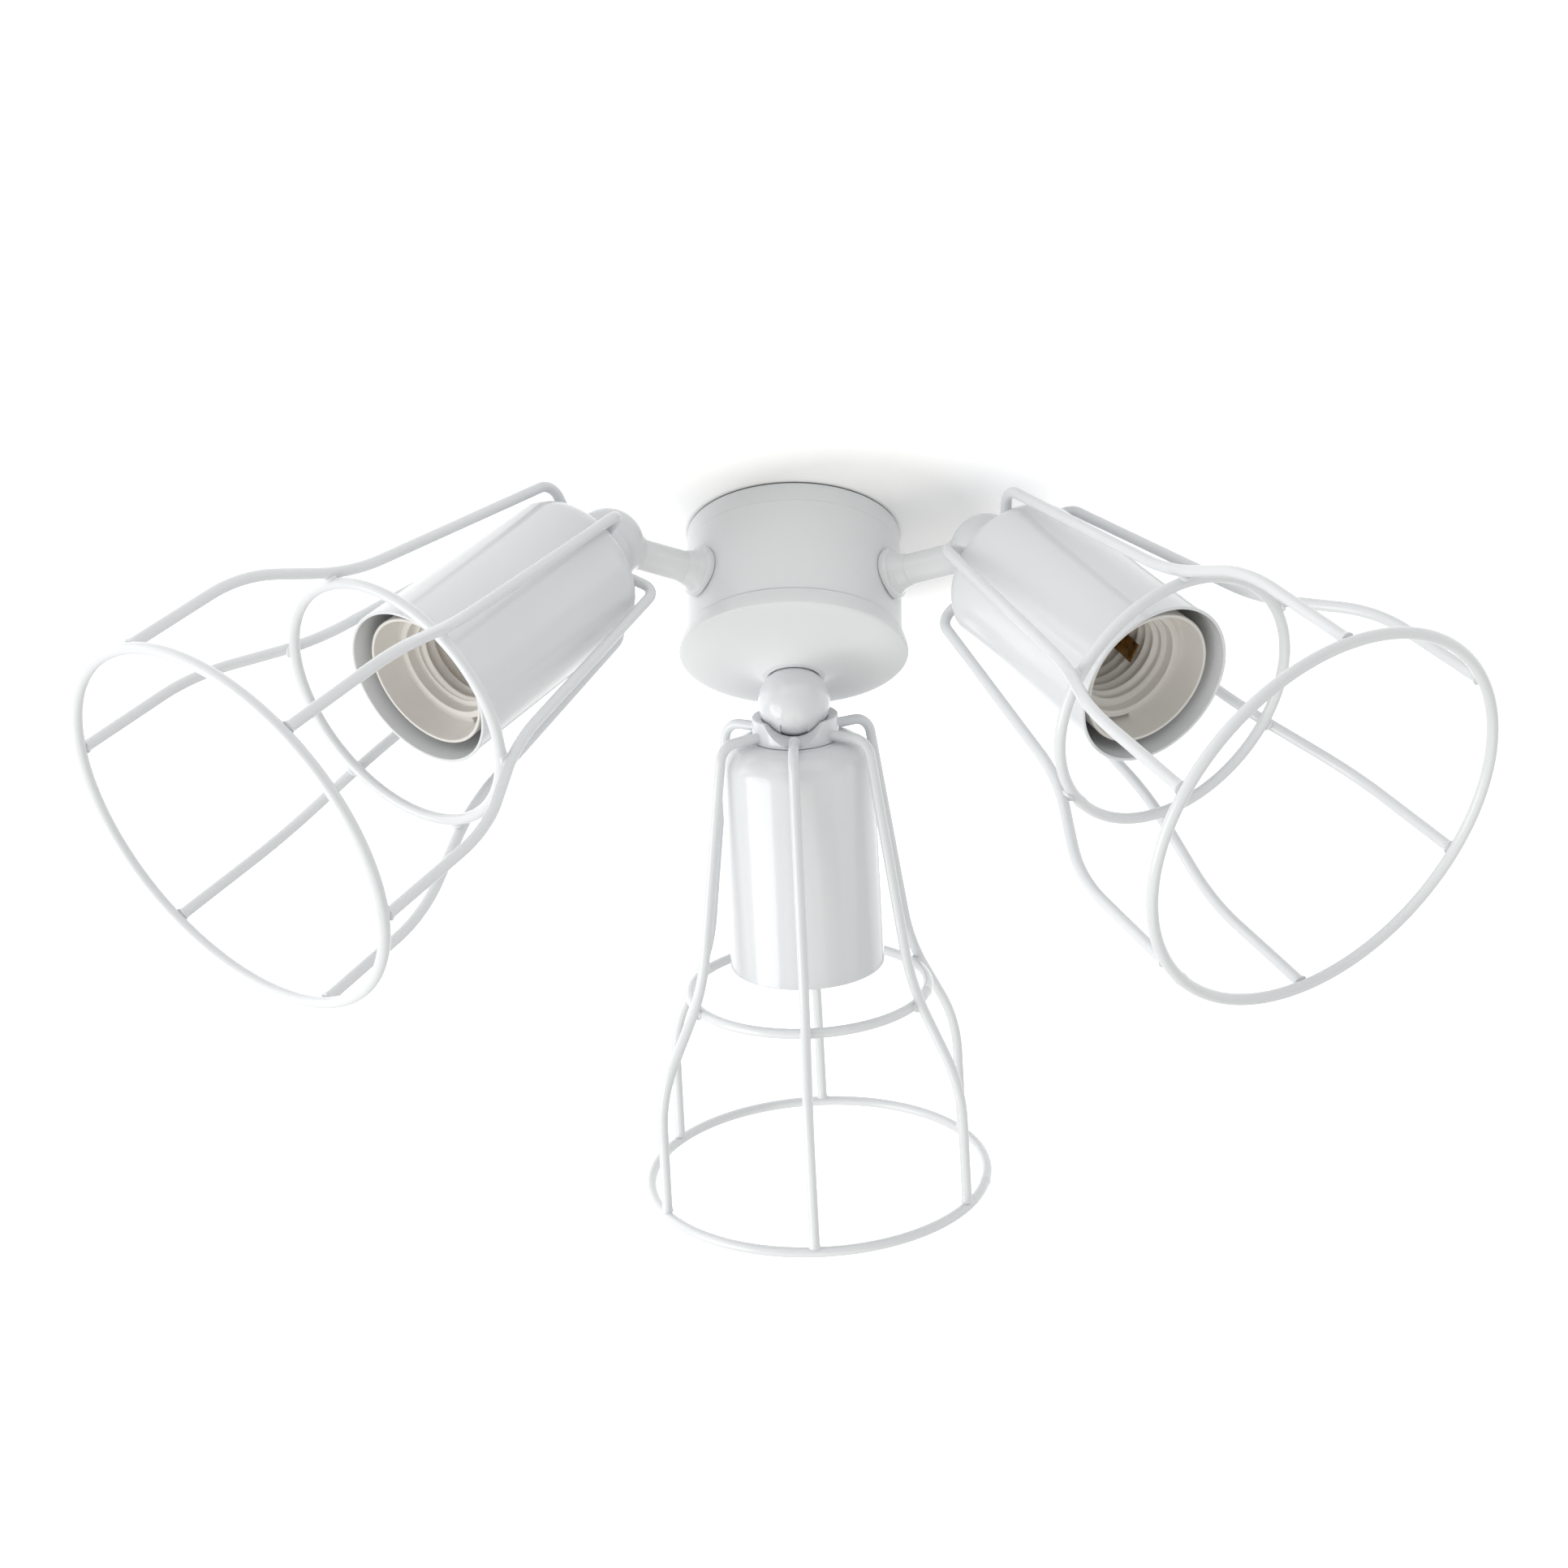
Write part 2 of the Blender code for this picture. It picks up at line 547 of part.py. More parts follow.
def round_wire(name, points, closed, parent):
    """A round wire along a row of points, as a bevelled curve with filled ends."""
    curve = bpy.data.curves.new(name, "CURVE")
    curve.dimensions = "3D"
    curve.bevel_depth = WIRE_RADIUS
    curve.bevel_resolution = WIRE_ROUNDNESS
    curve.use_fill_caps = True
    line = curve.splines.new("POLY")
    line.points.add(len(points) - 1)
    for spot, point in zip(line.points, points):
        spot.co = (*point, 1.0)
    line.use_cyclic_u = closed
    line.use_smooth = True
    wire = bpy.data.objects.new(name, curve)
    bpy.context.scene.collection.objects.link(wire)
    wire.parent = parent
    painted(wire)


def ring_points(radius, height, sides, first):
    """Points of a level ring, the first of them at the first wire's angle, so that wires meet corners."""
    angles = [first + math.tau * step / sides for step in range(sides)]
    return [(radius * math.cos(angle), radius * math.sin(angle), height) for angle in angles]


def cage(side, tilt):
    """Six bent wires welded to the collar, a mid ring inside them and a large ring on their ends."""
    path = wire_path()
    first = math.radians(CAGE_ROLL[side])
    for count in range(WIRE_COUNT):
        turn = first + math.tau * count / WIRE_COUNT
        points = [(radius * math.cos(turn), radius * math.sin(turn), height) for radius, height in path]
        round_wire("cage_wire_%s_%d" % (side, count + 1), points, False, tilt)
    mid = ring_points(mid_ring_radius(path), MID_RING, MID_RING_SIDES, first)
    round_wire("cage_ring_mid_" + side, mid, True, tilt)
    large = ring_points(LARGE_RING_RADIUS, LARGE_RING, LARGE_RING_SIDES, first)
    round_wire("cage_ring_large_" + side, large, True, tilt)


def pivot_frame(centre, along, reference, swivel):
    """Frame at a ball: Z along its stem, away from the hub, X where a tilting head leans, Y the tilt axis."""
    lean = Matrix.Rotation(math.radians(swivel), 3, along) @ reference
    across = along.cross(lean)
    return Matrix.Translation(centre) @ Matrix((lean, across, along)).transposed().to_4x4()


def lamp(side, centre, along, reference):
    """One head on its two pivots: the ball swivels about its stem, and the head tilts on the ball."""
    swivel = bpy.data.objects.new("swivel_pivot_" + side, None)
    swivel.matrix_world = pivot_frame(centre, along, reference, REST_SWIVEL[side])
    tilt = bpy.data.objects.new("tilt_pivot_" + side, None)
    tilt.parent = swivel
    tilt.rotation_euler = (0.0, math.radians(REST_TILT[side]), 0.0)
    for pivot in (swivel, tilt):
        bpy.context.scene.collection.objects.link(pivot)
    ball(side, swivel)
    slot_nut(side, tilt)
    head_nipple(side, tilt)
    collar(side, tilt)
    cup(side, tilt)
    lampholder(side, tilt)
    cage(side, tilt)


def arm_frame(angle):
    """Frame on the hub's axis at the arms' height: Z along the arm, X level, Y up or down."""
    along = Vector((math.cos(math.radians(angle)), math.sin(math.radians(angle)), 0.0))
    level = Vector((0.0, 0.0, 1.0)).cross(along)
    rows = Matrix((level, along.cross(level), along)).transposed().to_4x4()
    return Matrix.Translation((0.0, 0.0, -ARM_DROP)) @ rows


clear_scene()
frames = {side: arm_frame(angle) for side, angle in ARM_ANGLES.items()}
hub_body(frames)
mounting_plate()
terminal_block()
dish_cap()
centre_nipple()
dish_nut()
DOWN = Vector((0.0, 0.0, -1.0))
for arm_side, arm_place in frames.items():
    arm(arm_side, arm_place)
    outward = arm_place.to_3x3().col[2]
    lamp(arm_side, arm_place @ Vector((0.0, 0.0, ARM_REACH)), outward, DOWN)
lamp("centre", DOWN * CENTRE_BALL_DROP, DOWN, Vector((0.0, 1.0, 0.0)))
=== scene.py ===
"""Dressed scene of a ceiling fan light kit: a white hub, two side arms and three caged lamp heads.

Metres, +Z up, with the origin at the middle of the hub's top, where it meets the ceiling.
"""
import json
import math

import bmesh
import bpy
import numpy as np
from mathutils import Matrix, Vector


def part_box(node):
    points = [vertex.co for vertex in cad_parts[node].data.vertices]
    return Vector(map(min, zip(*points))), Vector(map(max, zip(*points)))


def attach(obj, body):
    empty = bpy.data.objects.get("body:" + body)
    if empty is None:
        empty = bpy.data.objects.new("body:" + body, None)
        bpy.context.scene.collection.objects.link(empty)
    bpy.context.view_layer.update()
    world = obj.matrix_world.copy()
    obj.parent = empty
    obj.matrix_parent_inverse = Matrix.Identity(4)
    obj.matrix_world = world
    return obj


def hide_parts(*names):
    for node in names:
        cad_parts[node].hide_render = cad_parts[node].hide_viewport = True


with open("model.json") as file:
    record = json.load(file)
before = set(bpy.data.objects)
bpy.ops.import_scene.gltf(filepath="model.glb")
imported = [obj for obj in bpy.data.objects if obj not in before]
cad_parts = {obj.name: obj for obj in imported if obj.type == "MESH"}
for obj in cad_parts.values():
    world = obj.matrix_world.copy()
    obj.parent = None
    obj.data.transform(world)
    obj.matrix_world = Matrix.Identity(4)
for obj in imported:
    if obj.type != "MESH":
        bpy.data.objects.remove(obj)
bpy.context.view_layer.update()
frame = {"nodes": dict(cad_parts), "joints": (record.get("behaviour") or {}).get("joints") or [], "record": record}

# Its long lens keeps the three heads nearly the same size, though the side heads come nearer than
# the hub.
PHOTO_SIDE = 1932
FOCAL_PIXELS = 3082.3
SENSOR_MM = 36.0
EYE = (-0.02938, -0.72726, -0.40318)
HEADING = math.radians(-2.053)
PITCH = math.radians(23.303)
ROLL = math.radians(-0.171)
lens = bpy.data.cameras.new("photo_camera")
lens.sensor_width = SENSOR_MM
lens.lens = FOCAL_PIXELS * SENSOR_MM / PHOTO_SIDE
camera = bpy.data.objects.new("photo_camera", lens)
bpy.context.scene.collection.objects.link(camera)
level_turn = Matrix.Rotation(HEADING, 4, "Z") @ Matrix.Rotation(math.pi / 2 + PITCH, 4, "X")
camera.matrix_world = Matrix.Translation(EYE) @ level_turn @ Matrix.Rotation(ROLL, 4, "Z")
bpy.context.scene.camera = camera
bpy.context.scene.view_settings.view_transform = "Standard"


# It is painted matt white, has a round hole for the wires behind the hub, and keeps the hub's soft
# shadow, partly cast and partly painted. It glows a little for the camera and in reflections, not at all
# close to the hub, and most beyond the shadow, so that it shows white there. The glow is painted shadow:
# it is weakest round a point right of the hub, so the shade lies most on that side. With no glow at the
# hub's edge, a dark contact line is painted there. From above it is clear.
CEILING_RADIUS = 8.0
CEILING_HOLE = 0.0344
CEILING_SIDES = 96
CEILING_GAP = 0.0001
CEILING_PAINT = "#FAFAFA"
# Painted shadow on the ceiling: glow inside and beyond it, its soft edge, its centre and the painted contact line.
GLOW_NEAR = 0.06
GLOW_FAR = 0.70
PAINTED_SHADOW_RANGE = (0.042, 0.088)
PAINTED_SHADOW_CENTRE = (0.017, -0.004, 0.0)
PAINTED_CONTACT_LINE = (0.0350, 0.0364)


def linear(hex_colour):
    """Linear RGBA of an sRGB hex value: c / 12.92 up to 0.04045, ((c + 0.055) / 1.055) ** 2.4 above."""
    channel = np.array([int(hex_colour[start:start + 2], 16) for start in (1, 3, 5)]) / 255
    value = np.where(channel <= 0.04045, channel / 12.92, ((channel + 0.055) / 1.055) ** 2.4)
    return (*value, 1.0)


def add_node(tree, kind, settings, inputs):
    """Add a node with its own settings. An input is a value, or another node's output to link."""
    node = tree.nodes.new(kind)
    for name, value in settings.items():
        setattr(node, name, value)
    for name, value in inputs.items():
        if isinstance(value, bpy.types.NodeSocket):
            tree.links.new(value, node.inputs[name])
        else:
            node.inputs[name].default_value = value
    return node


def seen_rays(tree):
    """1 for a ray that looks: straight from the camera, by a reflection or through glass."""
    path = add_node(tree, "ShaderNodeLightPath", {}, {}).outputs
    direct = add_node(tree, "ShaderNodeMath", {"operation": "MAXIMUM"},
                      {0: path["Is Camera Ray"], 1: path["Is Glossy Ray"]})
    both = add_node(tree, "ShaderNodeMath", {"operation": "MAXIMUM"},
                    {0: direct.outputs[0], 1: path["Is Transmission Ray"]})
    return both.outputs[0]


ceiling_paint = bpy.data.materials.new("matt_ceiling_paint")
ceiling_paint.use_nodes = True
paint_tree = ceiling_paint.node_tree
paint_tree.nodes.clear()
wall = add_node(paint_tree, "ShaderNodeBsdfDiffuse", {}, {"Color": linear(CEILING_PAINT)})
spot_on_ceiling = add_node(paint_tree, "ShaderNodeTexCoord", {}, {}).outputs["Object"]
# Painted shadow: the glow grows with distance from a point just right of the hub.
distance = add_node(paint_tree, "ShaderNodeVectorMath", {"operation": "DISTANCE"},
                    {0: spot_on_ceiling, 1: PAINTED_SHADOW_CENTRE})
reach = add_node(paint_tree, "ShaderNodeMapRange", {},
                 {"Value": distance.outputs["Value"], "From Min": PAINTED_SHADOW_RANGE[0], "From Max": PAINTED_SHADOW_RANGE[1],
                  "To Min": GLOW_NEAR, "To Max": GLOW_FAR})
from_axis = add_node(paint_tree, "ShaderNodeVectorMath", {"operation": "LENGTH"}, {0: spot_on_ceiling})
# Painted contact shadow: the glow is nil at the hub's edge, which leaves a dark line there.
past_painted_contact_line = add_node(paint_tree, "ShaderNodeMapRange", {},
                        {"Value": from_axis.outputs["Value"], "From Min": PAINTED_CONTACT_LINE[0],
                         "From Max": PAINTED_CONTACT_LINE[1]})
glow_there = add_node(paint_tree, "ShaderNodeMath", {"operation": "MULTIPLY"},
                      {0: past_painted_contact_line.outputs[0], 1: reach.outputs[0]})
glow_level = add_node(paint_tree, "ShaderNodeMath", {"operation": "MULTIPLY"},
                      {0: seen_rays(paint_tree), 1: glow_there.outputs[0]})
glow = add_node(paint_tree, "ShaderNodeEmission", {}, {"Strength": glow_level.outputs[0]})
lit = add_node(paint_tree, "ShaderNodeAddShader", {}, {0: wall.outputs[0], 1: glow.outputs[0]})
clear = add_node(paint_tree, "ShaderNodeBsdfTransparent", {}, {})
upper_side = add_node(paint_tree, "ShaderNodeNewGeometry", {}, {}).outputs["Backfacing"]
both_sides = add_node(paint_tree, "ShaderNodeMixShader", {},
                      {0: upper_side, 1: lit.outputs[0], 2: clear.outputs[0]})
add_node(paint_tree, "ShaderNodeOutputMaterial", {}, {"Surface": both_sides.outputs[0]})

ceiling_turn = np.arange(CEILING_SIDES) * math.tau / CEILING_SIDES
ceiling_circle = np.column_stack([np.cos(ceiling_turn), np.sin(ceiling_turn), 0 * ceiling_turn])
ceiling_points = np.vstack([ceiling_circle * CEILING_HOLE, ceiling_circle * CEILING_RADIUS])
ceiling_points += (0, 0, CEILING_GAP)
inner_corner = np.arange(CEILING_SIDES)
next_corner = (inner_corner + 1) % CEILING_SIDES
ceiling_faces = np.column_stack([inner_corner, next_corner, next_corner + CEILING_SIDES,
                                 inner_corner + CEILING_SIDES])
ceiling_mesh = bpy.data.meshes.new("ceiling")
ceiling_mesh.from_pydata(ceiling_points.tolist(), [], ceiling_faces.tolist())
ceiling_mesh.materials.append(ceiling_paint)
ceiling = bpy.data.objects.new("ceiling", ceiling_mesh)
bpy.context.scene.collection.objects.link(ceiling)


# Studio light: a white room and three large soft lamps. The main one is low on the left and throws the
# hub's shadow to the right. One shines up from the floor, a little warm, and a weak one fills the right.
ROOM_LEVEL = 0.59
ROOM_COLOUR = "#FCFDFF"
LAMP_TARGET = (0.0, 0.0, -0.1)
room = bpy.data.worlds.new("studio")
room.use_nodes = True
room_tree = room.node_tree
room_tree.nodes.clear()
room_light = add_node(room_tree, "ShaderNodeBackground", {},
                      {"Color": linear(ROOM_COLOUR), "Strength": ROOM_LEVEL})
white_view = add_node(room_tree, "ShaderNodeBackground", {}, {"Strength": 1.0})
room_mix = add_node(room_tree, "ShaderNodeMixShader", {},
                    {0: seen_rays(room_tree), 1: room_light.outputs[0], 2: white_view.outputs[0]})
add_node(room_tree, "ShaderNodeOutputWorld", {}, {"Surface": room_mix.outputs[0]})
bpy.context.scene.world = room


def soft_lamp(name, place, width, watts, colour):
    data = bpy.data.lights.new(name, "AREA")
    data.color = linear(colour)[:3]
    data.shape = "DISK"
    data.size = width
    data.energy = watts
    lamp = bpy.data.objects.new(name, data)
    towards = Vector(LAMP_TARGET) - Vector(place)
    lamp.matrix_world = Matrix.Translation(place) @ towards.to_track_quat("-Z", "Y").to_matrix().to_4x4()
    lamp.visible_camera = False
    bpy.context.scene.collection.objects.link(lamp)


soft_lamp("key_lamp", place=(-1.25, -0.20, -0.80), width=1.1, watts=11.2, colour="#FFFFFF")
soft_lamp("floor_lamp", place=(0.0, -0.30, -1.60), width=1.8, watts=6.2, colour="#FFFAEC")
soft_lamp("fill_lamp", place=(1.5, -0.3, -0.5), width=1.2, watts=1.5, colour="#FFFFFF")


# Hub: a can drawn from sheet steel, closed at the top and open below, with a hole for each arm. It has a
# fine bead near its top and a low step for a dark ring of painted shade. The powder coat is a cool white,
# as on the other metal.
SHEET = 0.0012
SEAM = 0.0003
HUB_BOTTOM, HUB_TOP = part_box("hub_body")
HUB_RADIUS = HUB_TOP.x
HUB_HEIGHT = -HUB_BOTTOM.z
HUB_EDGE = 0.0004
BEAD_DROP = 0.0070
BEAD_RISE = 0.00008
BEAD_HALF = 0.0005
NECK_IN = 0.00018
STEM_HOLE = 0.0053
SHADE_RING_HEIGHT = 0.0004
SHADE_RING_SEAT = 0.0016
SHADE_RING_BACK = 0.0003
HUB_COLUMNS = 192
FLAT_HOLD = 0.0004
SHARP_ANGLE = 38.0
COAT_WHITE = "#E8E9EA"
COAT_SHADE = "#E5E7E8"
# The heads' white is the same coat as the hub's, painted greyer: painted shade.
HEAD_SHADED_WHITE = "#DCDEE0"    # the heads look a little greyer than the hub in the photo
ORANGE_PEEL = 0.0016
PEEL_DEPTH = 0.00006
PEEL_STRENGTH = 0.35
FILM_DRIFT = 0.040


def unit(vectors):
    """The vectors, each divided by its own length."""
    return vectors / np.linalg.norm(vectors, axis=-1, keepdims=True)


def rounded_line(corners, arc_points=7):
    """Line through corners of (radius, height, rounding), which closes on itself.

    A corner's arc starts and ends where its tangents leave the corner, rounding / tan(half its angle)
    away, and turns evenly about a centre on the bisector. Beside each arc one more point keeps the
    straight stretch straight. A corner with no rounding is a single point.
    """
    corners = np.array(corners, float)
    spot, rounding = corners[:, :2], corners[:, 2:]
    plain = rounding[:, 0] == 0.0
    back = unit(np.roll(spot, 1, axis=0) - spot)
    onward = unit(np.roll(spot, -1, axis=0) - spot)
    half = np.arccos(np.clip((back * onward).sum(axis=1, keepdims=True), -1.0, 1.0)) / 2
    half = np.where(plain[:, None], math.pi / 4, half)
    middle = np.where(plain[:, None], 1.0, unit(back + onward + 3 * plain[:, None]))
    centre = spot + middle * rounding / np.sin(half)
    first = spot + back * rounding / np.tan(half) - centre
    last = spot + onward * rounding / np.tan(half) - centre
    turn = (math.pi - 2 * half)[..., None]
    share = np.linspace(0.0, 1.0, arc_points)[None, :, None]
    arcs = (np.sin((1 - share) * turn) * first[:, None] + np.sin(share * turn) * last[:, None]) / np.sin(turn)
    arcs = arcs + centre[:, None]
    room_after = np.linalg.norm(np.roll(arcs[:, 0], -1, axis=0) - arcs[:, -1], axis=1, keepdims=True)
    hold = np.minimum(FLAT_HOLD, 0.3 * room_after)
    after = arcs[:, -1] + onward * hold
    before = arcs[:, 0] + back * np.roll(hold, 1, axis=0)
    points = np.concatenate([before[:, None], arcs, after[:, None]], axis=1)
    points[plain] = spot[plain][:, None]
    keep = np.ones(points.shape[:2], bool)
    keep[plain, 1:] = False
    return points[keep]


def plain_points(line):
    """The line's points as corners with no rounding."""
    line = np.array(line, float)
    return np.column_stack([line, np.zeros(len(line))])


def turned(line, columns):
    """Grid of a turned piece: each (radius, height) of the line goes round Z in even steps."""
    angle = np.arange(columns) * math.tau / columns
    line = np.array(line, float)
    radius, height = line[:, 0, None], line[:, 1, None]
    return np.stack([radius * np.cos(angle), radius * np.sin(angle), height + 0 * angle], axis=-1)


def upright(origin, along, lean):
    """Place of a turned piece: Z runs along, and X turns towards lean as far as a right angle allows."""
    along = unit(np.array(along, float))
    across = unit(np.cross(along, lean))
    place = np.eye(4)
    place[:3] = np.column_stack([np.cross(across, along), across, along, origin])
    return place


def skinned(name, grid, place, looped=True):
    """Piece whose faces join a grid of points, rows along it and columns round it, set in its place.

    Columns close on themselves. Looped rows close too, as in a hollow turned piece. Otherwise each end
    row has shrunk to one point, the piece's pole. A grid of grids gives several bodies in one piece.
    """
    rows, columns = grid.shape[-3:-1]
    bodies = grid.reshape(-1, rows, columns, 3)
    number = np.arange(rows * columns).reshape(rows, columns)
    points = bodies.reshape(len(bodies), -1, 3)
    if looped:
        number = np.vstack([number, number[:1]])
    else:
        number = np.clip(number - columns + 1, 0, (rows - 2) * columns + 1)
        number[0] = 0
        number[-1] = (rows - 2) * columns + 1
        points = np.concatenate([points[:, :1], points[:, columns:-columns], points[:, -1:]], axis=1)
    beside = np.roll(number, -1, axis=1)
    quads = np.stack([number[:-1], beside[:-1], beside[1:], number[1:]], axis=-1)
    fans = np.empty((0, 3), int)
    if not looped:
        fans = np.vstack([quads[0][:, [0, 2, 3]], quads[-1][:, [0, 1, 2]]])
        quads = quads[1:-1]
    quads = quads.reshape(-1, 4)
    triangles = np.vstack([quads[:, :3], quads[:, [0, 2, 3]], fans])
    first, second, third = (points[0][triangles[:, corner]] for corner in range(3))
    if (first * np.cross(second, third)).sum() < 0.0:
        quads, fans = quads[:, ::-1], fans[:, ::-1]
    offset = np.arange(len(points))[:, None, None] * points.shape[1]
    quads = (quads + offset).reshape(-1, 4)
    fans = (fans + offset).reshape(-1, 3)
    placed = points.reshape(-1, 3) @ place[:3, :3].T + place[:3, 3]
    starts = np.concatenate([np.arange(len(quads)) * 4, quads.size + np.arange(len(fans)) * 3])
    mesh = bpy.data.meshes.new(name)
    mesh.vertices.add(len(placed))
    mesh.vertices.foreach_set("co", placed.astype(np.float32).ravel())
    mesh.loops.add(quads.size + fans.size)
    mesh.loops.foreach_set("vertex_index", np.concatenate([quads.ravel(), fans.ravel()]).astype(np.int32))
    mesh.polygons.add(len(starts))
    mesh.polygons.foreach_set("loop_start", starts.astype(np.int32))
    mesh.update(calc_edges=True)
    mesh.validate()
    mesh.shade_smooth()
    mesh.set_sharp_from_angle(angle=math.radians(SHARP_ANGLE))
    piece = bpy.data.objects.new(name, mesh)
    bpy.context.scene.collection.objects.link(piece)
    return piece


def powder_coat(name, gloss, white=COAT_WHITE):
    """Polyester powder coat, sprayed dry and baked: satin, with a fine orange peel from the melted grains
    and a film that runs a little thicker and cooler in places. gloss is its mean roughness."""
    material = bpy.data.materials.new(name)
    material.use_nodes = True
    tree = material.node_tree
    shader = tree.nodes["Principled BSDF"]
    shader.inputs["IOR"].default_value = 1.5
    spot = add_node(tree, "ShaderNodeTexCoord", {}, {}).outputs["Object"]
    drift = add_node(tree, "ShaderNodeTexNoise", {}, {"Vector": spot, "Scale": 1 / FILM_DRIFT, "Detail": 0.0})
    film = add_node(tree, "ShaderNodeMix", {"data_type": "RGBA"},
                    {0: drift.outputs[0], 6: linear(white), 7: linear(COAT_SHADE)})
    dull = add_node(tree, "ShaderNodeMapRange", {},
                    {"Value": drift.outputs[0], "From Min": 0.3, "From Max": 0.7, "To Min": gloss - 0.02,
                     "To Max": gloss + 0.03})
    peel = add_node(tree, "ShaderNodeTexNoise", {}, {"Vector": spot, "Scale": 1 / ORANGE_PEEL, "Detail": 1.5})
    relief = add_node(tree, "ShaderNodeBump", {},
                      {"Height": peel.outputs[0], "Distance": PEEL_DEPTH, "Strength": PEEL_STRENGTH})
    tree.links.new(film.outputs[2], shader.inputs["Base Color"])
    tree.links.new(dull.outputs[0], shader.inputs["Roughness"])
    tree.links.new(relief.outputs[0], shader.inputs["Normal"])
    return material


def bored(piece, place, radius, length):
    """Cut a round hole through the piece along Z of place, and keep the result as the piece's mesh."""
    body = bmesh.new()
    bmesh.ops.create_cone(body, cap_ends=True, segments=64, radius1=radius, radius2=radius, depth=length)
    body.transform(Matrix(place.tolist()))
    drill_mesh = bpy.data.meshes.new("drill")
    body.to_mesh(drill_mesh)
    body.free()
    drill = bpy.data.objects.new("drill", drill_mesh)
    bpy.context.scene.collection.objects.link(drill)
    cut = piece.modifiers.new("hole", "BOOLEAN")
    cut.operation = "DIFFERENCE"
    cut.solver = "EXACT"
    cut.object = drill
    graph = bpy.context.evaluated_depsgraph_get()
    piece.data = bpy.data.meshes.new_from_object(piece.evaluated_get(graph))
    piece.modifiers.clear()
    bpy.data.objects.remove(drill)
    piece.data.set_sharp_from_angle(angle=math.radians(SHARP_ANGLE))


SIDES = ("left", "centre", "right")
JOINTS = {joint["name"]: joint for joint in frame["joints"]}
MOUNTS = {mount["name"]: mount for mount in frame["record"]["mounts"]}
UP = np.array((0.0, 0.0, 1.0))
ball_centre = {side: np.array(JOINTS["tilt_" + side]["pos_m"]) for side in SIDES}
stem_direction = {side: unit(ball_centre[side] * (1.0, 1.0, 0.0)) for side in ("left", "right")}
stem_direction["centre"] = -UP
arm_place = {}
for side in ("left", "right"):
    root_of_arm = UP * ball_centre[side][2]
    arm_place[side] = upright(root_of_arm, stem_direction[side], np.cross(UP, stem_direction[side]))

hub_white = powder_coat("hub_powder_coat", gloss=0.34)
upper = HUB_RADIUS - NECK_IN
inner = HUB_RADIUS - SHEET
bead_low = -BEAD_DROP - 2 * BEAD_HALF
hub_line = rounded_line([
    (STEM_HOLE, 0.0, 0.0003), (upper - SHADE_RING_SEAT, 0.0, 0.0), (upper - SHADE_RING_SEAT, -SHADE_RING_HEIGHT, 0.0),
    (upper, -SHADE_RING_HEIGHT, HUB_EDGE), (upper, -BEAD_DROP + BEAD_HALF, 0.0004),
    (HUB_RADIUS + BEAD_RISE, -BEAD_DROP, 0.0003), (HUB_RADIUS, bead_low, 0.0005),
    (HUB_RADIUS, -HUB_HEIGHT, 0.00025), (inner, -HUB_HEIGHT, 0.0002), (inner, -SHEET, 0.0008),
    (STEM_HOLE, -SHEET, 0.0002)])
hub = skinned("hub_can", turned(hub_line, HUB_COLUMNS), np.eye(4))
for side in ("left", "right"):
    through_wall = arm_place[side].copy()
    through_wall[:3, 3] += stem_direction[side] * HUB_RADIUS
    bored(hub, through_wall, STEM_HOLE, HUB_RADIUS)
hub.data.materials.clear()
hub.data.materials.append(hub_white)
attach(hub, "root")
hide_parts("hub_body")


# Dark ring on the hub: a thin ring round the can's top edge, in a low step, flat between the can and the
# ceiling. Its dark grey is painted shade: it stands for the contact shadow, the fine dark line there.
SHADE_RING_GREY = "#737577"
SHADE_RING_ROUGHNESS = 0.9

# Dull dark grey, painted shade, so that the joint reads as a line.
shade_ring_paint = bpy.data.materials.new("hub_shade_ring_paint")
shade_ring_paint.use_nodes = True
shade_ring_shader = shade_ring_paint.node_tree.nodes["Principled BSDF"]
shade_ring_shader.inputs["Base Color"].default_value = linear(SHADE_RING_GREY)
shade_ring_shader.inputs["Roughness"].default_value = SHADE_RING_ROUGHNESS
shade_ring_line = rounded_line([
    (upper - SHADE_RING_SEAT, 0.0, 0.0), (upper - SHADE_RING_BACK, 0.0, 0.0001), (upper - SHADE_RING_BACK, -SHADE_RING_HEIGHT, 0.0),
    (upper - SHADE_RING_SEAT, -SHADE_RING_HEIGHT, 0.0)])
shade_ring = skinned("hub_shade_ring", turned(shade_ring_line, HUB_COLUMNS), np.eye(4))
shade_ring.data.materials.append(shade_ring_paint)
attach(shade_ring, "root")


# Hardware inside the hub: a mounting plate, a threaded stem and three nuts in zinc-plated steel, and a
# terminal block in moulded grey plastic. They are plain pressings and bought parts.
ZINC = "#B9BDC2"
ZINC_DARK = "#9EA3A8"
ZINC_SPANGLE = 0.003
FINE_RELIEF = 0.00002
BLOCK_GREY = "#C9C8C3"
BLOCK_GREY_DARK = "#BDBCB6"
MOULD_GRAIN = 0.0007


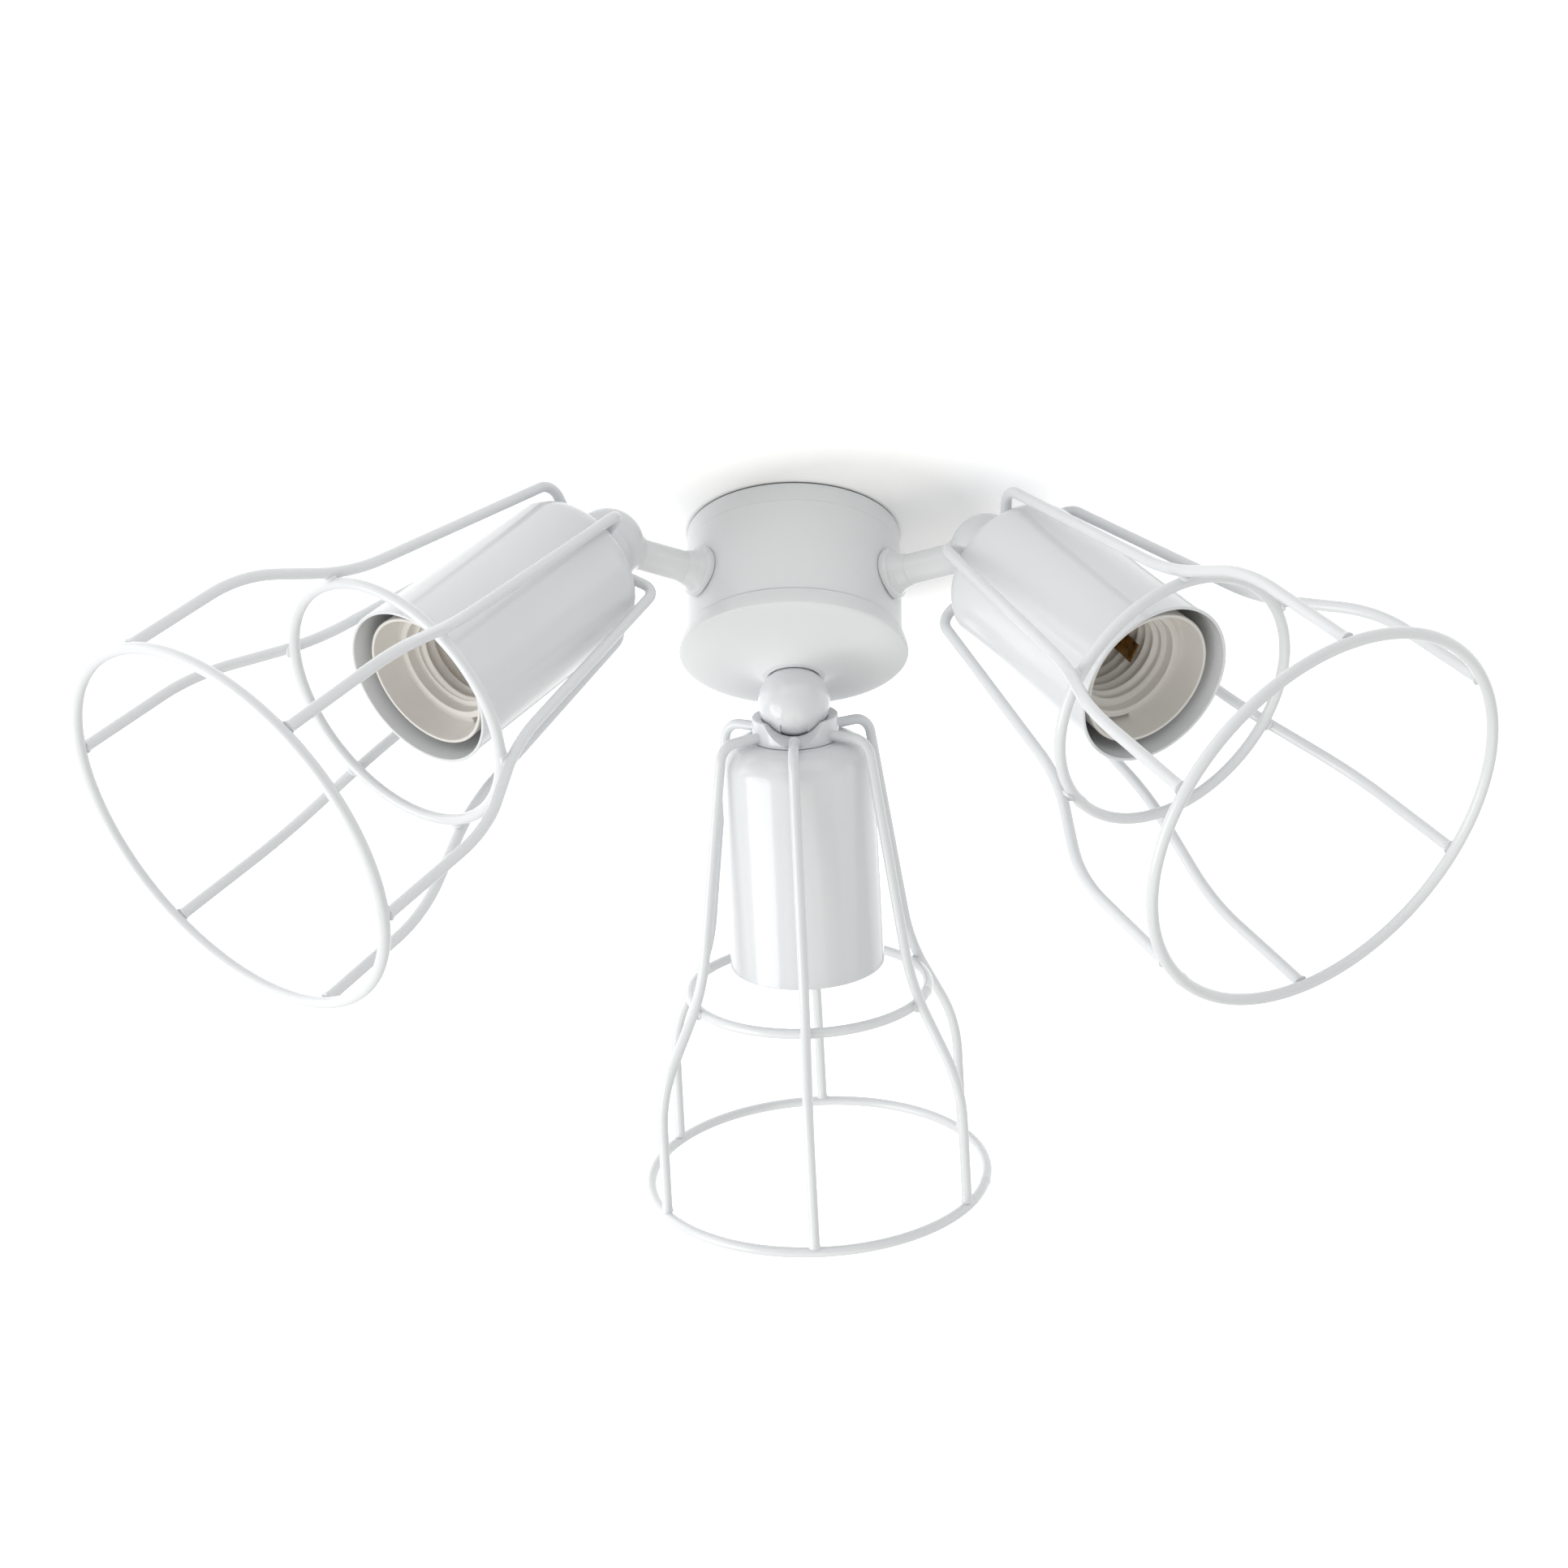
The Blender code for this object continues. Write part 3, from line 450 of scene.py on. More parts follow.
def zinc_plate(name):
    """Bright zinc plating on turned or pressed steel: a bluish metal with a cloudy, slightly uneven gloss."""
    material = bpy.data.materials.new(name)
    material.use_nodes = True
    tree = material.node_tree
    shader = tree.nodes["Principled BSDF"]
    shader.inputs["Metallic"].default_value = 1.0
    spot = add_node(tree, "ShaderNodeTexCoord", {}, {}).outputs["Object"]
    cloud = add_node(tree, "ShaderNodeTexNoise", {}, {"Vector": spot, "Scale": 1 / ZINC_SPANGLE, "Detail": 4.0})
    tone = add_node(tree, "ShaderNodeMix", {"data_type": "RGBA"},
                    {0: cloud.outputs[0], 6: linear(ZINC), 7: linear(ZINC_DARK)})
    dull = add_node(tree, "ShaderNodeMapRange", {}, {"Value": cloud.outputs[0], "To Min": 0.28, "To Max": 0.48})
    relief = add_node(tree, "ShaderNodeBump", {}, {"Height": cloud.outputs[0], "Distance": FINE_RELIEF,
                                                    "Strength": 0.3})
    tree.links.new(tone.outputs[2], shader.inputs["Base Color"])
    tree.links.new(dull.outputs[0], shader.inputs["Roughness"])
    tree.links.new(relief.outputs[0], shader.inputs["Normal"])
    return material


def moulded_plastic(name, colour, colour_deep, gloss, ior):
    """Injection-moulded plastic with the faint grain of its mould and a colour that varies very little."""
    material = bpy.data.materials.new(name)
    material.use_nodes = True
    tree = material.node_tree
    shader = tree.nodes["Principled BSDF"]
    shader.inputs["IOR"].default_value = ior
    spot = add_node(tree, "ShaderNodeTexCoord", {}, {}).outputs["Object"]
    grain = add_node(tree, "ShaderNodeTexNoise", {}, {"Vector": spot, "Scale": 1 / MOULD_GRAIN, "Detail": 2.0})
    cloud = add_node(tree, "ShaderNodeTexNoise", {}, {"Vector": spot, "Scale": 0.1 / MOULD_GRAIN, "Detail": 2.0})
    tone = add_node(tree, "ShaderNodeMix", {"data_type": "RGBA"},
                    {0: cloud.outputs[0], 6: linear(colour), 7: linear(colour_deep)})
    dull = add_node(tree, "ShaderNodeMapRange", {},
                    {"Value": grain.outputs[0], "To Min": gloss - 0.05, "To Max": gloss + 0.05})
    relief = add_node(tree, "ShaderNodeBump", {}, {"Height": grain.outputs[0], "Distance": FINE_RELIEF,
                                                    "Strength": 0.25})
    tree.links.new(tone.outputs[2], shader.inputs["Base Color"])
    tree.links.new(dull.outputs[0], shader.inputs["Roughness"])
    tree.links.new(relief.outputs[0], shader.inputs["Normal"])
    return material


def refinish(node, material):
    """Give a CAD piece that stays in view its finish."""
    for holder in frame["nodes"][node].material_slots:
        holder.material = material


plated = zinc_plate("zinc_plated_steel")
for node in ("mounting_plate", "centre_nipple", "dish_nut", "arm_nut_left", "arm_nut_right"):
    refinish(node, plated)
refinish("terminal_block", moulded_plastic("grey_thermoset", BLOCK_GREY, BLOCK_GREY_DARK, gloss=0.5, ior=1.5))


# Dish: spun steel that closes the can. From a fine seam it flares like a bell to a crisp edge, and its
# shallow face swells into the boss that carries the centre ball. A nut inside pulls it up the stem.
DISH_SEAM = -HUB_HEIGHT - SEAM
SPIGOT = inner - SEAM
SPIGOT_RISE = 0.0040
DISH_LIP = HUB_RADIUS + 0.0004
BALL_RADIUS = 0.0116
SEAT_RADIUS = BALL_RADIUS + SEAM
BOSS_RADIUS = 0.0092
SEAT_RIM = 0.0085
DISH_INSIDE_DROP = 0.0079
DISH_INSIDE_FLAT = 0.0200
DISH_INSIDE_BEND = (0.0300, -0.0060)
FLARE = ((0.0000, 0.0000), (0.0005, 0.0013), (0.0011, 0.0030), (0.0015, 0.0047), (0.00155, 0.0057))
FACE = ((0.0010, 0.0063), (-0.0010, 0.0070), (-0.0040, 0.0077), (-0.0082, 0.0084), (-0.0140, 0.0091),
        (-0.0186, 0.0100), (-0.0220, 0.0112), (-0.0243, 0.0126), (-0.0256, 0.0137))


def flowing_line(points, per_span=8):
    """Smooth line through points: on each span a cubic whose end slopes are half the chord between the
    neighbours of that end."""
    points = np.array(points, float)
    ends = np.vstack([2 * points[0] - points[1], points, 2 * points[-1] - points[-2]])
    before, start, end, after = (ends[shift:len(ends) - 3 + shift, None] for shift in range(4))
    share = np.linspace(0.0, 1.0, per_span, endpoint=False)[None, :, None]
    slopes = (end - before) * share + (2 * before - 5 * start + 4 * end - after) * share ** 2
    spans = start + (slopes + (3 * start - before - 3 * end + after) * share ** 3) / 2
    return np.vstack([spans.reshape(-1, 2), points[-1:]])


def sphere_line(radius, first, last, count):
    """Points (distance from the axis, height) of a sphere about the origin, between two distances."""
    angle = np.linspace(math.asin(first / radius), math.asin(last / radius), count)
    return np.column_stack([radius * np.sin(angle), radius * np.cos(angle)])


centre_drop = -ball_centre["centre"][2]
seat_line = sphere_line(SEAT_RADIUS, SEAT_RIM, STEM_HOLE, 10) - (0.0, centre_drop)
boss_end = (BOSS_RADIUS, seat_line[0, 1])
flare_line = flowing_line(np.array(FLARE) * (1, -1) + (DISH_LIP, DISH_SEAM), 5)
face_points = np.vstack([np.array(FACE) * (1, -1) + (DISH_LIP, DISH_SEAM),
                         boss_end + np.array((0.0001, 0.0003))])
face_line = flowing_line(face_points, 8)
dish_inside = flowing_line([
    (STEM_HOLE, DISH_SEAM - DISH_INSIDE_DROP), (DISH_INSIDE_FLAT, DISH_SEAM - DISH_INSIDE_DROP),
    (DISH_INSIDE_BEND[0], DISH_SEAM + DISH_INSIDE_BEND[1]), (SPIGOT - SHEET, DISH_SEAM)], 6)
dish_line = rounded_line(np.vstack([
    [(SPIGOT, DISH_SEAM + SPIGOT_RISE, 0.0003), (SPIGOT, DISH_SEAM, 0.0001)],
    plain_points(flare_line), plain_points(face_line), [(*boss_end, 0.0003)], plain_points(seat_line),
    plain_points(dish_inside), [(SPIGOT - SHEET, DISH_SEAM + SPIGOT_RISE, 0.0003)]]))
dish = skinned("dish_cover", turned(dish_line, HUB_COLUMNS), np.eye(4))
dish.data.materials.append(powder_coat("dish_powder_coat", gloss=0.36))
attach(dish, "root")
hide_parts("dish_cap")


# Arms: a steel tube each side, pinched to the can between a nut inside and a turned flange outside. The
# flange is saddled to the can, has a round base and a step, and runs out onto the tube.
FLANGE_RADIUS = 0.0083
FLANGE_ROOT = HUB_RADIUS - 0.002
FLANGE_NECK = 0.0066
FLANGE_EDGE = 0.0004
FLANGE_BASE = HUB_RADIUS + 0.0020
FLANGE_STEP_RADIUS = 0.0071
FLANGE_STEP = HUB_RADIUS + 0.0038
FLANGE_END = HUB_RADIUS + 0.0068
TUBE_RADIUS = 0.0050
TUBE_BORE = 0.0036
TUBE_FLANGE = 0.0063
TUBE_FLARE = 0.0006
TUBE_LIP = 0.0011
TUBE_START = 0.0230
BALL_INSIDE = 0.0104


def saddled(grid, can_radius):
    """Push a turned grid's points out to the can's round wall where they would be inside it.

    At level offset x from the arm's axis the wall is the root of can_radius ** 2 - x ** 2 away.
    """
    wall_height = np.sqrt(can_radius ** 2 - grid[..., 0] ** 2)
    grid[..., 2] = np.maximum(grid[..., 2], wall_height)
    return grid


flange_line = rounded_line([
    (TUBE_RADIUS, FLANGE_ROOT, 0.0), (FLANGE_NECK, FLANGE_ROOT, 0.0),
    (FLANGE_RADIUS - FLANGE_EDGE, FLANGE_ROOT, 0.0),
    (FLANGE_RADIUS - FLANGE_EDGE, HUB_RADIUS - FLANGE_EDGE, 0.0),
    (FLANGE_RADIUS, HUB_RADIUS + FLANGE_EDGE, 0.0), (FLANGE_RADIUS, FLANGE_BASE, 0.0008),
    (FLANGE_STEP_RADIUS, FLANGE_BASE + 0.0003, 0.0004), (TUBE_RADIUS + 0.0010, FLANGE_STEP, 0.0016),
    (TUBE_RADIUS + 0.00012, FLANGE_END, 0.00005), (TUBE_RADIUS, FLANGE_END, 0.0)])
arm_white = powder_coat("arm_powder_coat", gloss=0.15)
for side in ("left", "right"):
    flange = skinned("arm_rose_" + side, saddled(turned(flange_line, 96), HUB_RADIUS + SEAM), arm_place[side])
    flange.data.materials.append(arm_white)
    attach(flange, "root")
    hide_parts("arm_flange_" + side)
    reach = np.linalg.norm(ball_centre[side][:2])
    catch = reach - math.sqrt(BALL_INSIDE ** 2 - TUBE_FLANGE ** 2) + 2 * SEAM
    tube_line = rounded_line([
        (TUBE_BORE, TUBE_START, 0.0002), (TUBE_RADIUS, TUBE_START, 0.0003),
        (TUBE_RADIUS, catch - TUBE_FLARE, 0.0003), (TUBE_FLANGE, catch, 0.0002),
        (TUBE_FLANGE, catch + TUBE_LIP, 0.0002), (TUBE_BORE, catch + TUBE_LIP, 0.0002)])
    tube = skinned("arm_pipe_" + side, turned(tube_line, 96), arm_place[side])
    tube.data.materials.append(arm_white)
    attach(tube, "root")
    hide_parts("arm_tube_" + side)


# Balls: hollow steel, each turning on its stem behind a short rolled neck. A slot under the socket ring
# lets the head's stem tilt. A thin white shell inside rides on the stem and keeps the slot closed.
SLOT_TILTS = {"left": (20.0, 68.0), "centre": (0.0, 45.0), "right": (20.0, 68.0)}
SLOT_HALF = 0.0043
BALL_WALL = 0.0004
BALL_COLUMNS = 144
BALL_ROWS = 56
COVER_GAP = 0.0001
COVER_WALL = 0.0005
COVER_REACH = math.radians(75.0)
NECK = ((0.0053, -0.01095), (0.0056, -0.01108), (0.0059, -0.01085), (0.0062, -0.01030), (0.0066, -0.00980))
NECK_END = 0.0072


def slot_edge(radius, turn, tilts):
    """Polar angle from the stem's far end at which the slot stops, in each direction turn.

    The slot is a band along the X plane: SLOT_HALF to each side of it and beyond both end tilts. Each of
    its four planes gives a limit, and the nearest holds.
    """
    share = SLOT_HALF / radius
    low, high = (math.radians(tilt) for tilt in tilts)
    flank = np.arcsin(np.minimum(share / np.maximum(np.abs(np.sin(turn)), 1e-6), 1.0))
    flank = np.where(share < np.abs(np.sin(turn)), flank, math.pi)
    ahead = np.cos(turn) * math.cos(high)
    far_end = np.arctan2(math.sin(high), ahead) + np.arcsin(share / np.hypot(ahead, math.sin(high)))
    behind = -np.cos(turn) * math.cos(low)
    size = np.hypot(behind, math.sin(low))
    near_end = np.arctan2(behind, math.sin(low)) - np.arccos(np.clip(share / size, -1.0, 1.0))
    near_end = np.where((behind > 0.0) & (size > share), near_end, math.pi)
    return np.minimum(np.minimum(flank, far_end), near_end)


def slotted_ball(tilts):
    """Grid of a hollow ball: out of its neck, round to the slot's edge, and back along the inner wall."""
    turn = np.arange(BALL_COLUMNS) * math.tau / BALL_COLUMNS
    around = np.stack([np.cos(turn), np.sin(turn)], axis=-1)
    shells = []
    for radius, start in ((BALL_RADIUS, NECK_END), (BALL_RADIUS - BALL_WALL, STEM_HOLE)):
        first = math.pi - math.asin(start / radius)
        share = np.linspace(0.0, 1.0, BALL_ROWS)[:, None]
        polar = first + (slot_edge(radius, turn, tilts) - first) * share
        flat = radius * np.sin(polar)[..., None] * around
        shells.append(np.concatenate([flat, radius * np.cos(polar)[..., None]], axis=-1))
    return np.concatenate([turned(flowing_line(NECK, 4), BALL_COLUMNS), shells[0], shells[1][::-1]])


cover_radius = BALL_RADIUS - BALL_WALL - COVER_GAP
cover_inside = cover_radius - COVER_WALL
cover_line = np.vstack([
    sphere_line(cover_radius, SLOT_HALF, cover_radius * math.sin(COVER_REACH), 30),
    sphere_line(cover_inside, cover_inside * math.sin(COVER_REACH), SLOT_HALF, 30)])
# Balls, socket rings, cups and wires take the heads' greyer white, which is painted shade.
ball_white = powder_coat("ball_powder_coat", gloss=0.12, white=HEAD_SHADED_WHITE)
ball_place = {}
head_place = {}
for side in SIDES:
    lamp_direction = np.array(MOUNTS["lamp_seat_" + side]["axis"])
    ball_place[side] = upright(ball_centre[side], stem_direction[side], lamp_direction)
    head_place[side] = upright(ball_centre[side], lamp_direction, -stem_direction[side])
    ball = skinned("ball_joint_" + side, slotted_ball(SLOT_TILTS[side]), ball_place[side])
    ball.data.materials.append(ball_white)
    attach(ball, "ball_" + side)
    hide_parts("ball_" + side)
    for node in ("head_nipple_", "head_nut_"):
        refinish(node + side, plated)
    cover = skinned("slot_cover_" + side, turned(cover_line, 72), head_place[side])
    cover.data.materials.append(ball_white)
    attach(cover, "head_" + side)
    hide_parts("slot_nut_" + side)


# Socket rings: a turned steel ring on the back of each cup, with the ball in its round seat. The ring is
# hollowed on two sides, where the stem swings as the head tilts, so the ball shows whole from there. The
# six cage wires are welded to its side.
RING_RADIUS = 0.0139
RING_TOP = 0.0041
RING_FLOOR = 0.0108
RING_SKIRT = 0.0118
SKIRT_IN = 0.0108
SKIRT_OUT = 0.0122
SEAT_TOP = 0.0108
HOLLOW_HALF = 0.0102
HOLLOW_LIFT = 0.0035
HOLLOW_FALL = 0.35
RING_COLUMNS = 360
ring_seat = sphere_line(SEAT_RADIUS, math.sqrt(SEAT_RADIUS ** 2 - RING_FLOOR ** 2), SEAT_TOP, 30)
ring_side = [(RING_RADIUS, height) for height in np.linspace(RING_TOP + 0.0008, RING_SKIRT - 0.0004, 14)]
ring_line = rounded_line(np.vstack([
    plain_points(ring_seat), [(RING_RADIUS, RING_TOP, 0.0004)], plain_points(ring_side),
    [(RING_RADIUS, RING_SKIRT, 0.0), (SKIRT_OUT, RING_SKIRT, 0.0), (SKIRT_IN, RING_FLOOR, 0.0)]]))


def hollowed(grid):
    """Lower a turned ring's points to a round hollow across X, the direction in which the head tilts.

    At offset y from the tilt's plane and x along it the hollow is at root(HOLLOW_HALF ** 2 - y ** 2), less
    HOLLOW_LIFT, plus HOLLOW_FALL * |x|, so that it falls outwards and leaves the ball in view.
    """
    offset = np.minimum(np.abs(grid[..., 1]), HOLLOW_HALF)
    hollow = np.sqrt(HOLLOW_HALF ** 2 - offset ** 2) - HOLLOW_LIFT + HOLLOW_FALL * np.abs(grid[..., 0])
    lowest = np.where(grid[..., 2] > RING_FLOOR, grid[..., 2], RING_SKIRT - 0.0003)
    grid[..., 2] = np.maximum(grid[..., 2], np.minimum(hollow, lowest))
    return grid


for side in SIDES:
    ring = skinned("socket_ring_" + side, hollowed(turned(ring_line, RING_COLUMNS)), head_place[side])
    ring.data.materials.append(ball_white)
    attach(ring, "head_" + side)
    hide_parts("collar_" + side)


# Cups: deep-drawn steel with a flat back, stepped under the socket ring, a round shoulder and a mouth that
# opens a little. Drawing leaves very slight ribs along the side, which break up its reflections.
CUP_CENTRE = RING_FLOOR + SEAM
CUP_BACK = RING_SKIRT + SEAM
CUP_WALL = 0.0010
CUP_HOLE = 0.0043
CUP_BACK_RADIUS = 0.0246
CUP_MOUTH_RADIUS = 0.0255
CUP_MOUTH = 0.0895
CUP_SHOULDER = 0.0080
DRAW_MARK = 0.000035
CUP_COLUMNS = 240


def drawn_side(grid):
    """Let the radius vary round the cup by a few waves of unlike length, DRAW_MARK high in all."""
    turn = np.arctan2(grid[..., 1], grid[..., 0])
    wave = 0.5 * np.cos(5 * turn + 0.7) + 0.3 * np.cos(9 * turn + 2.1) + 0.2 * np.cos(16 * turn + 4.0)
    depth = np.clip((grid[..., 2] - CUP_BACK - CUP_SHOULDER) / CUP_SHOULDER, 0.0, 1.0)
    scale = 1 + wave * depth * DRAW_MARK / CUP_MOUTH_RADIUS
    return grid * np.stack([scale, scale, np.ones_like(scale)], axis=-1)


cup_white = powder_coat("cup_powder_coat", gloss=0.15, white=HEAD_SHADED_WHITE)
cup_line = rounded_line([
    (CUP_HOLE, CUP_CENTRE, 0.0002), (SKIRT_IN, CUP_CENTRE, 0.0), (SKIRT_OUT, CUP_BACK, 0.0),
    (CUP_BACK_RADIUS, CUP_BACK, CUP_SHOULDER),
    (CUP_MOUTH_RADIUS, CUP_MOUTH, 0.00045), (CUP_MOUTH_RADIUS - CUP_WALL, CUP_MOUTH, 0.00045),
    (CUP_BACK_RADIUS - CUP_WALL, CUP_BACK + CUP_WALL, CUP_SHOULDER - CUP_WALL),
    (SKIRT_OUT, CUP_BACK + CUP_WALL, 0.0), (SKIRT_IN, CUP_CENTRE + CUP_WALL, 0.0),
    (CUP_HOLE, CUP_CENTRE + CUP_WALL, 0.0002)], 16)
for side in SIDES:
    cup = skinned("lamp_cup_" + side, drawn_side(turned(cup_line, CUP_COLUMNS)), head_place[side])
    cup.data.materials.append(cup_white)
    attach(cup, "head_" + side)
    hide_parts("cup_" + side)


# Lampholders: moulded pale plastic for a screw cap of 27 mm. Inside a thin rim lies a ledge with two
# pockets, then a low broad land and a smooth bore. Below that the round thread winds to the contacts.
HOLDER_RIM = 0.0857
HOLDER_BACK = 0.0400
HOLDER_LEDGE = HOLDER_RIM - 0.0094
HOLDER_FLOOR = 0.0490
HOLDER_SIDE = ((0.0155, HOLDER_BACK, 0.0008), (0.0172, 0.0607, 0.0010), (0.0204, 0.0657, 0.0010))
STEM_SEAT = 0.0461
STEM_BORE = 0.0028
STEM_CATCH = 0.0043
RIM_RADIUS = 0.0210
MOUTH_RADIUS = 0.0200
LEDGE_RADIUS = 0.0194
LAND_OUTER = 0.0176
BORE_RADIUS = 0.0157
LAND_RISE = 0.0003
THREAD_ROOT = 0.0140
THREAD_RISE = 0.0013
THREAD_PITCH = 0.00362
THREAD_TOP = HOLDER_LEDGE - 0.0032
THREAD_END = 0.0520
POCKET_TURNS = {"left": -8.0, "centre": 20.0, "right": 51.0}
POCKET_HALF = 13.0
POCKET_DEPTH = 0.0045
HOLDER_COLUMNS = 180
HOLDER_CREAM = "#E0DDD8"
HOLDER_CREAM_DEEP = "#DAD6D0"


def threaded(grid):
    """Sink the thread into the bore: rounded ridges that climb one pitch a turn and fade at both ends.

    The radius loses THREAD_RISE times (1 + cosine of (height / pitch less turn)) / 2, to the power 1.5
    to narrow the ridges.
    """
    turn = np.arctan2(grid[..., 1], grid[..., 0])
    height = grid[..., 2]
    phase = math.tau * height / THREAD_PITCH - turn
    ridge = ((1 + np.cos(phase)) / 2) ** 1.5
    fade_top = np.clip((THREAD_TOP - height) / THREAD_PITCH * 2, 0.0, 1.0)
    fade_end = np.clip((height - THREAD_END) / THREAD_PITCH * 2, 0.0, 1.0)
    scale = 1 - ridge * fade_top * fade_end * THREAD_RISE / THREAD_ROOT
    return grid * np.stack([scale, scale, np.ones_like(scale)], axis=-1)


def pocketed(grid, middle):
    """Sink the ledge between land and wall by POCKET_DEPTH in two places opposite each other."""
    turn = np.arctan2(grid[..., 1], grid[..., 0])
    off_middle = np.abs((turn - math.radians(middle) + math.pi / 2) % math.pi - math.pi / 2)
    inside = np.clip((math.radians(POCKET_HALF) - off_middle) / math.radians(2.0), 0.0, 1.0)
    sunk = grid.copy()
    sunk[..., 2] -= POCKET_DEPTH * inside
    return sunk


cream = moulded_plastic("cream_thermoset", HOLDER_CREAM, HOLDER_CREAM_DEEP, gloss=0.42, ior=1.52)
outer_line = rounded_line([
    (STEM_CATCH, HOLDER_BACK, 0.0003), *HOLDER_SIDE,
    (RIM_RADIUS, HOLDER_RIM, 0.0004), (MOUTH_RADIUS, HOLDER_RIM, 0.0003),
    (LEDGE_RADIUS, HOLDER_LEDGE, 0.0)])[:-1]
ledge_line = [(LEDGE_RADIUS, HOLDER_LEDGE + 0.0004), (LEDGE_RADIUS - 0.0003, HOLDER_LEDGE),
              (LAND_OUTER + 0.0002, HOLDER_LEDGE), (LAND_OUTER, HOLDER_LEDGE + 0.0001)]
land_line = rounded_line([
    (LAND_OUTER, HOLDER_LEDGE + 0.0002, 0.0), (LAND_OUTER, HOLDER_LEDGE + LAND_RISE, 0.0),
    (BORE_RADIUS, HOLDER_LEDGE + LAND_RISE, 0.0005), (BORE_RADIUS, THREAD_TOP, 0.0004),
    (THREAD_ROOT, THREAD_TOP, 0.0), (THREAD_ROOT, THREAD_TOP - 0.0001, 0.0)])
thread_heights = np.linspace(THREAD_TOP - 0.0002, THREAD_END - 0.0005, 110)
thread_line = np.column_stack([np.full(len(thread_heights), THREAD_ROOT), thread_heights])
floor_line = rounded_line([
    (THREAD_ROOT, THREAD_END - 0.0007, 0.0), (THREAD_ROOT, HOLDER_FLOOR, 0.0006),
    (STEM_BORE, HOLDER_FLOOR, 0.0003), (STEM_BORE, STEM_SEAT, 0.0), (STEM_CATCH, STEM_SEAT, 0.0)])
for side in SIDES:
    holder_grid = np.concatenate([
        turned(outer_line, HOLDER_COLUMNS), pocketed(turned(ledge_line, HOLDER_COLUMNS), POCKET_TURNS[side]),
        turned(land_line, HOLDER_COLUMNS), threaded(turned(thread_line, HOLDER_COLUMNS)),
        turned(floor_line, HOLDER_COLUMNS)])
    holder = skinned("screw_holder_" + side, holder_grid, head_place[side])
    holder.data.materials.append(cream)
    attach(holder, "head_" + side)
    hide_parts("lampholder_" + side)


# Contacts: a pressed brass button in the floor of each holder for the cap's tip, and a sprung brass
# strip up the thread's side for its shell. The brass has gone brown with heat and handling.
BUTTON = ((0.0000, 0.0), (0.0056, 0.0), (0.0060, 0.0004), (0.0058, 0.0008), (0.0044, 0.0011),
          (0.0034, 0.0022), (0.0020, 0.0027), (0.0000, 0.0028))
STRIP_WIDTH = 0.0060
STRIP_THICKNESS = 0.0005
STRIP = ((0.0096, 0.0494), (0.0110, 0.0500), (0.0116, 0.0530), (0.0117, 0.0580), (0.0113, 0.0620),
         (0.0104, 0.0655), (0.0106, 0.0668))
STRIP_TURNS = {"left": 200.0, "centre": 240.0, "right": 122.0}
BRASS = "#B08A4E"
BRASS_BROWN = "#5E4023"
TARNISH = 0.004


def tarnished_brass(name):
    """Rolled brass strip, pressed and left bare: a yellow metal with brown tarnish in soft patches."""
    material = bpy.data.materials.new(name)
    material.use_nodes = True
    tree = material.node_tree
    shader = tree.nodes["Principled BSDF"]
    shader.inputs["Metallic"].default_value = 1.0
    spot = add_node(tree, "ShaderNodeTexCoord", {}, {}).outputs["Object"]
    patch = add_node(tree, "ShaderNodeTexNoise", {}, {"Vector": spot, "Scale": 1 / TARNISH, "Detail": 5.0})
    share = add_node(tree, "ShaderNodeMapRange", {}, {"Value": patch.outputs[0], "From Min": 0.35,
                                                       "From Max": 0.65})
    tone = add_node(tree, "ShaderNodeMix", {"data_type": "RGBA"},
                    {0: share.outputs[0], 6: linear(BRASS), 7: linear(BRASS_BROWN)})
    dull = add_node(tree, "ShaderNodeMapRange", {}, {"Value": share.outputs[0], "To Min": 0.3, "To Max": 0.55})
    relief = add_node(tree, "ShaderNodeBump", {}, {"Height": patch.outputs[0], "Distance": FINE_RELIEF,
                                                    "Strength": 0.3})
    tree.links.new(tone.outputs[2], shader.inputs["Base Color"])
    tree.links.new(dull.outputs[0], shader.inputs["Roughness"])
    tree.links.new(relief.outputs[0], shader.inputs["Normal"])
    return material


def carried(line, outward, sideways, turn):
    """Grid of a section carried along a line of (radius, height) that lies in a plane through the axis.

    outward and sideways hold the section's points at each row of the line, measured along the line's
    normal in that plane and square to the plane. turn is the plane's angle round the axis.
    """
    line = np.array(line, float)
    normal = unit(np.gradient(line, axis=0))[:, ::-1] * (1, -1)
    radius = line[:, :1] + normal[:, :1] * outward
    height = line[:, 1:] + normal[:, 1:] * outward
    return np.stack([radius * math.cos(turn) - sideways * math.sin(turn),
                     radius * math.sin(turn) + sideways * math.cos(turn), height], axis=-1)


brass = tarnished_brass("tarnished_brass")
section_turn = np.arange(32) * math.tau / 32
squared = np.stack([np.cos(section_turn), np.sin(section_turn)])
squared = np.sign(squared) * np.abs(squared) ** 0.3 / 2
for side in SIDES:
    button_line = np.array(BUTTON) + (0.0, HOLDER_FLOOR + SEAM)
    button = skinned("contact_button_" + side, turned(button_line, 64), head_place[side], looped=False)
    button.data.materials.append(brass)
    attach(button, "head_" + side)
    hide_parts("centre_contact_" + side)
    strip_line = flowing_line(STRIP, 6)
    thick = np.full((len(strip_line), 1), STRIP_THICKNESS)
    thick[[0, -1]] = 0.0
    wide = np.where(thick > 0.0, STRIP_WIDTH, 0.0)
    strip_grid = carried(strip_line, thick * squared[0], wide * squared[1], math.radians(STRIP_TURNS[side]))
    strip = skinned("contact_strip_" + side, strip_grid, head_place[side], looped=False)
    strip.data.materials.append(brass)
    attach(strip, "head_" + side)


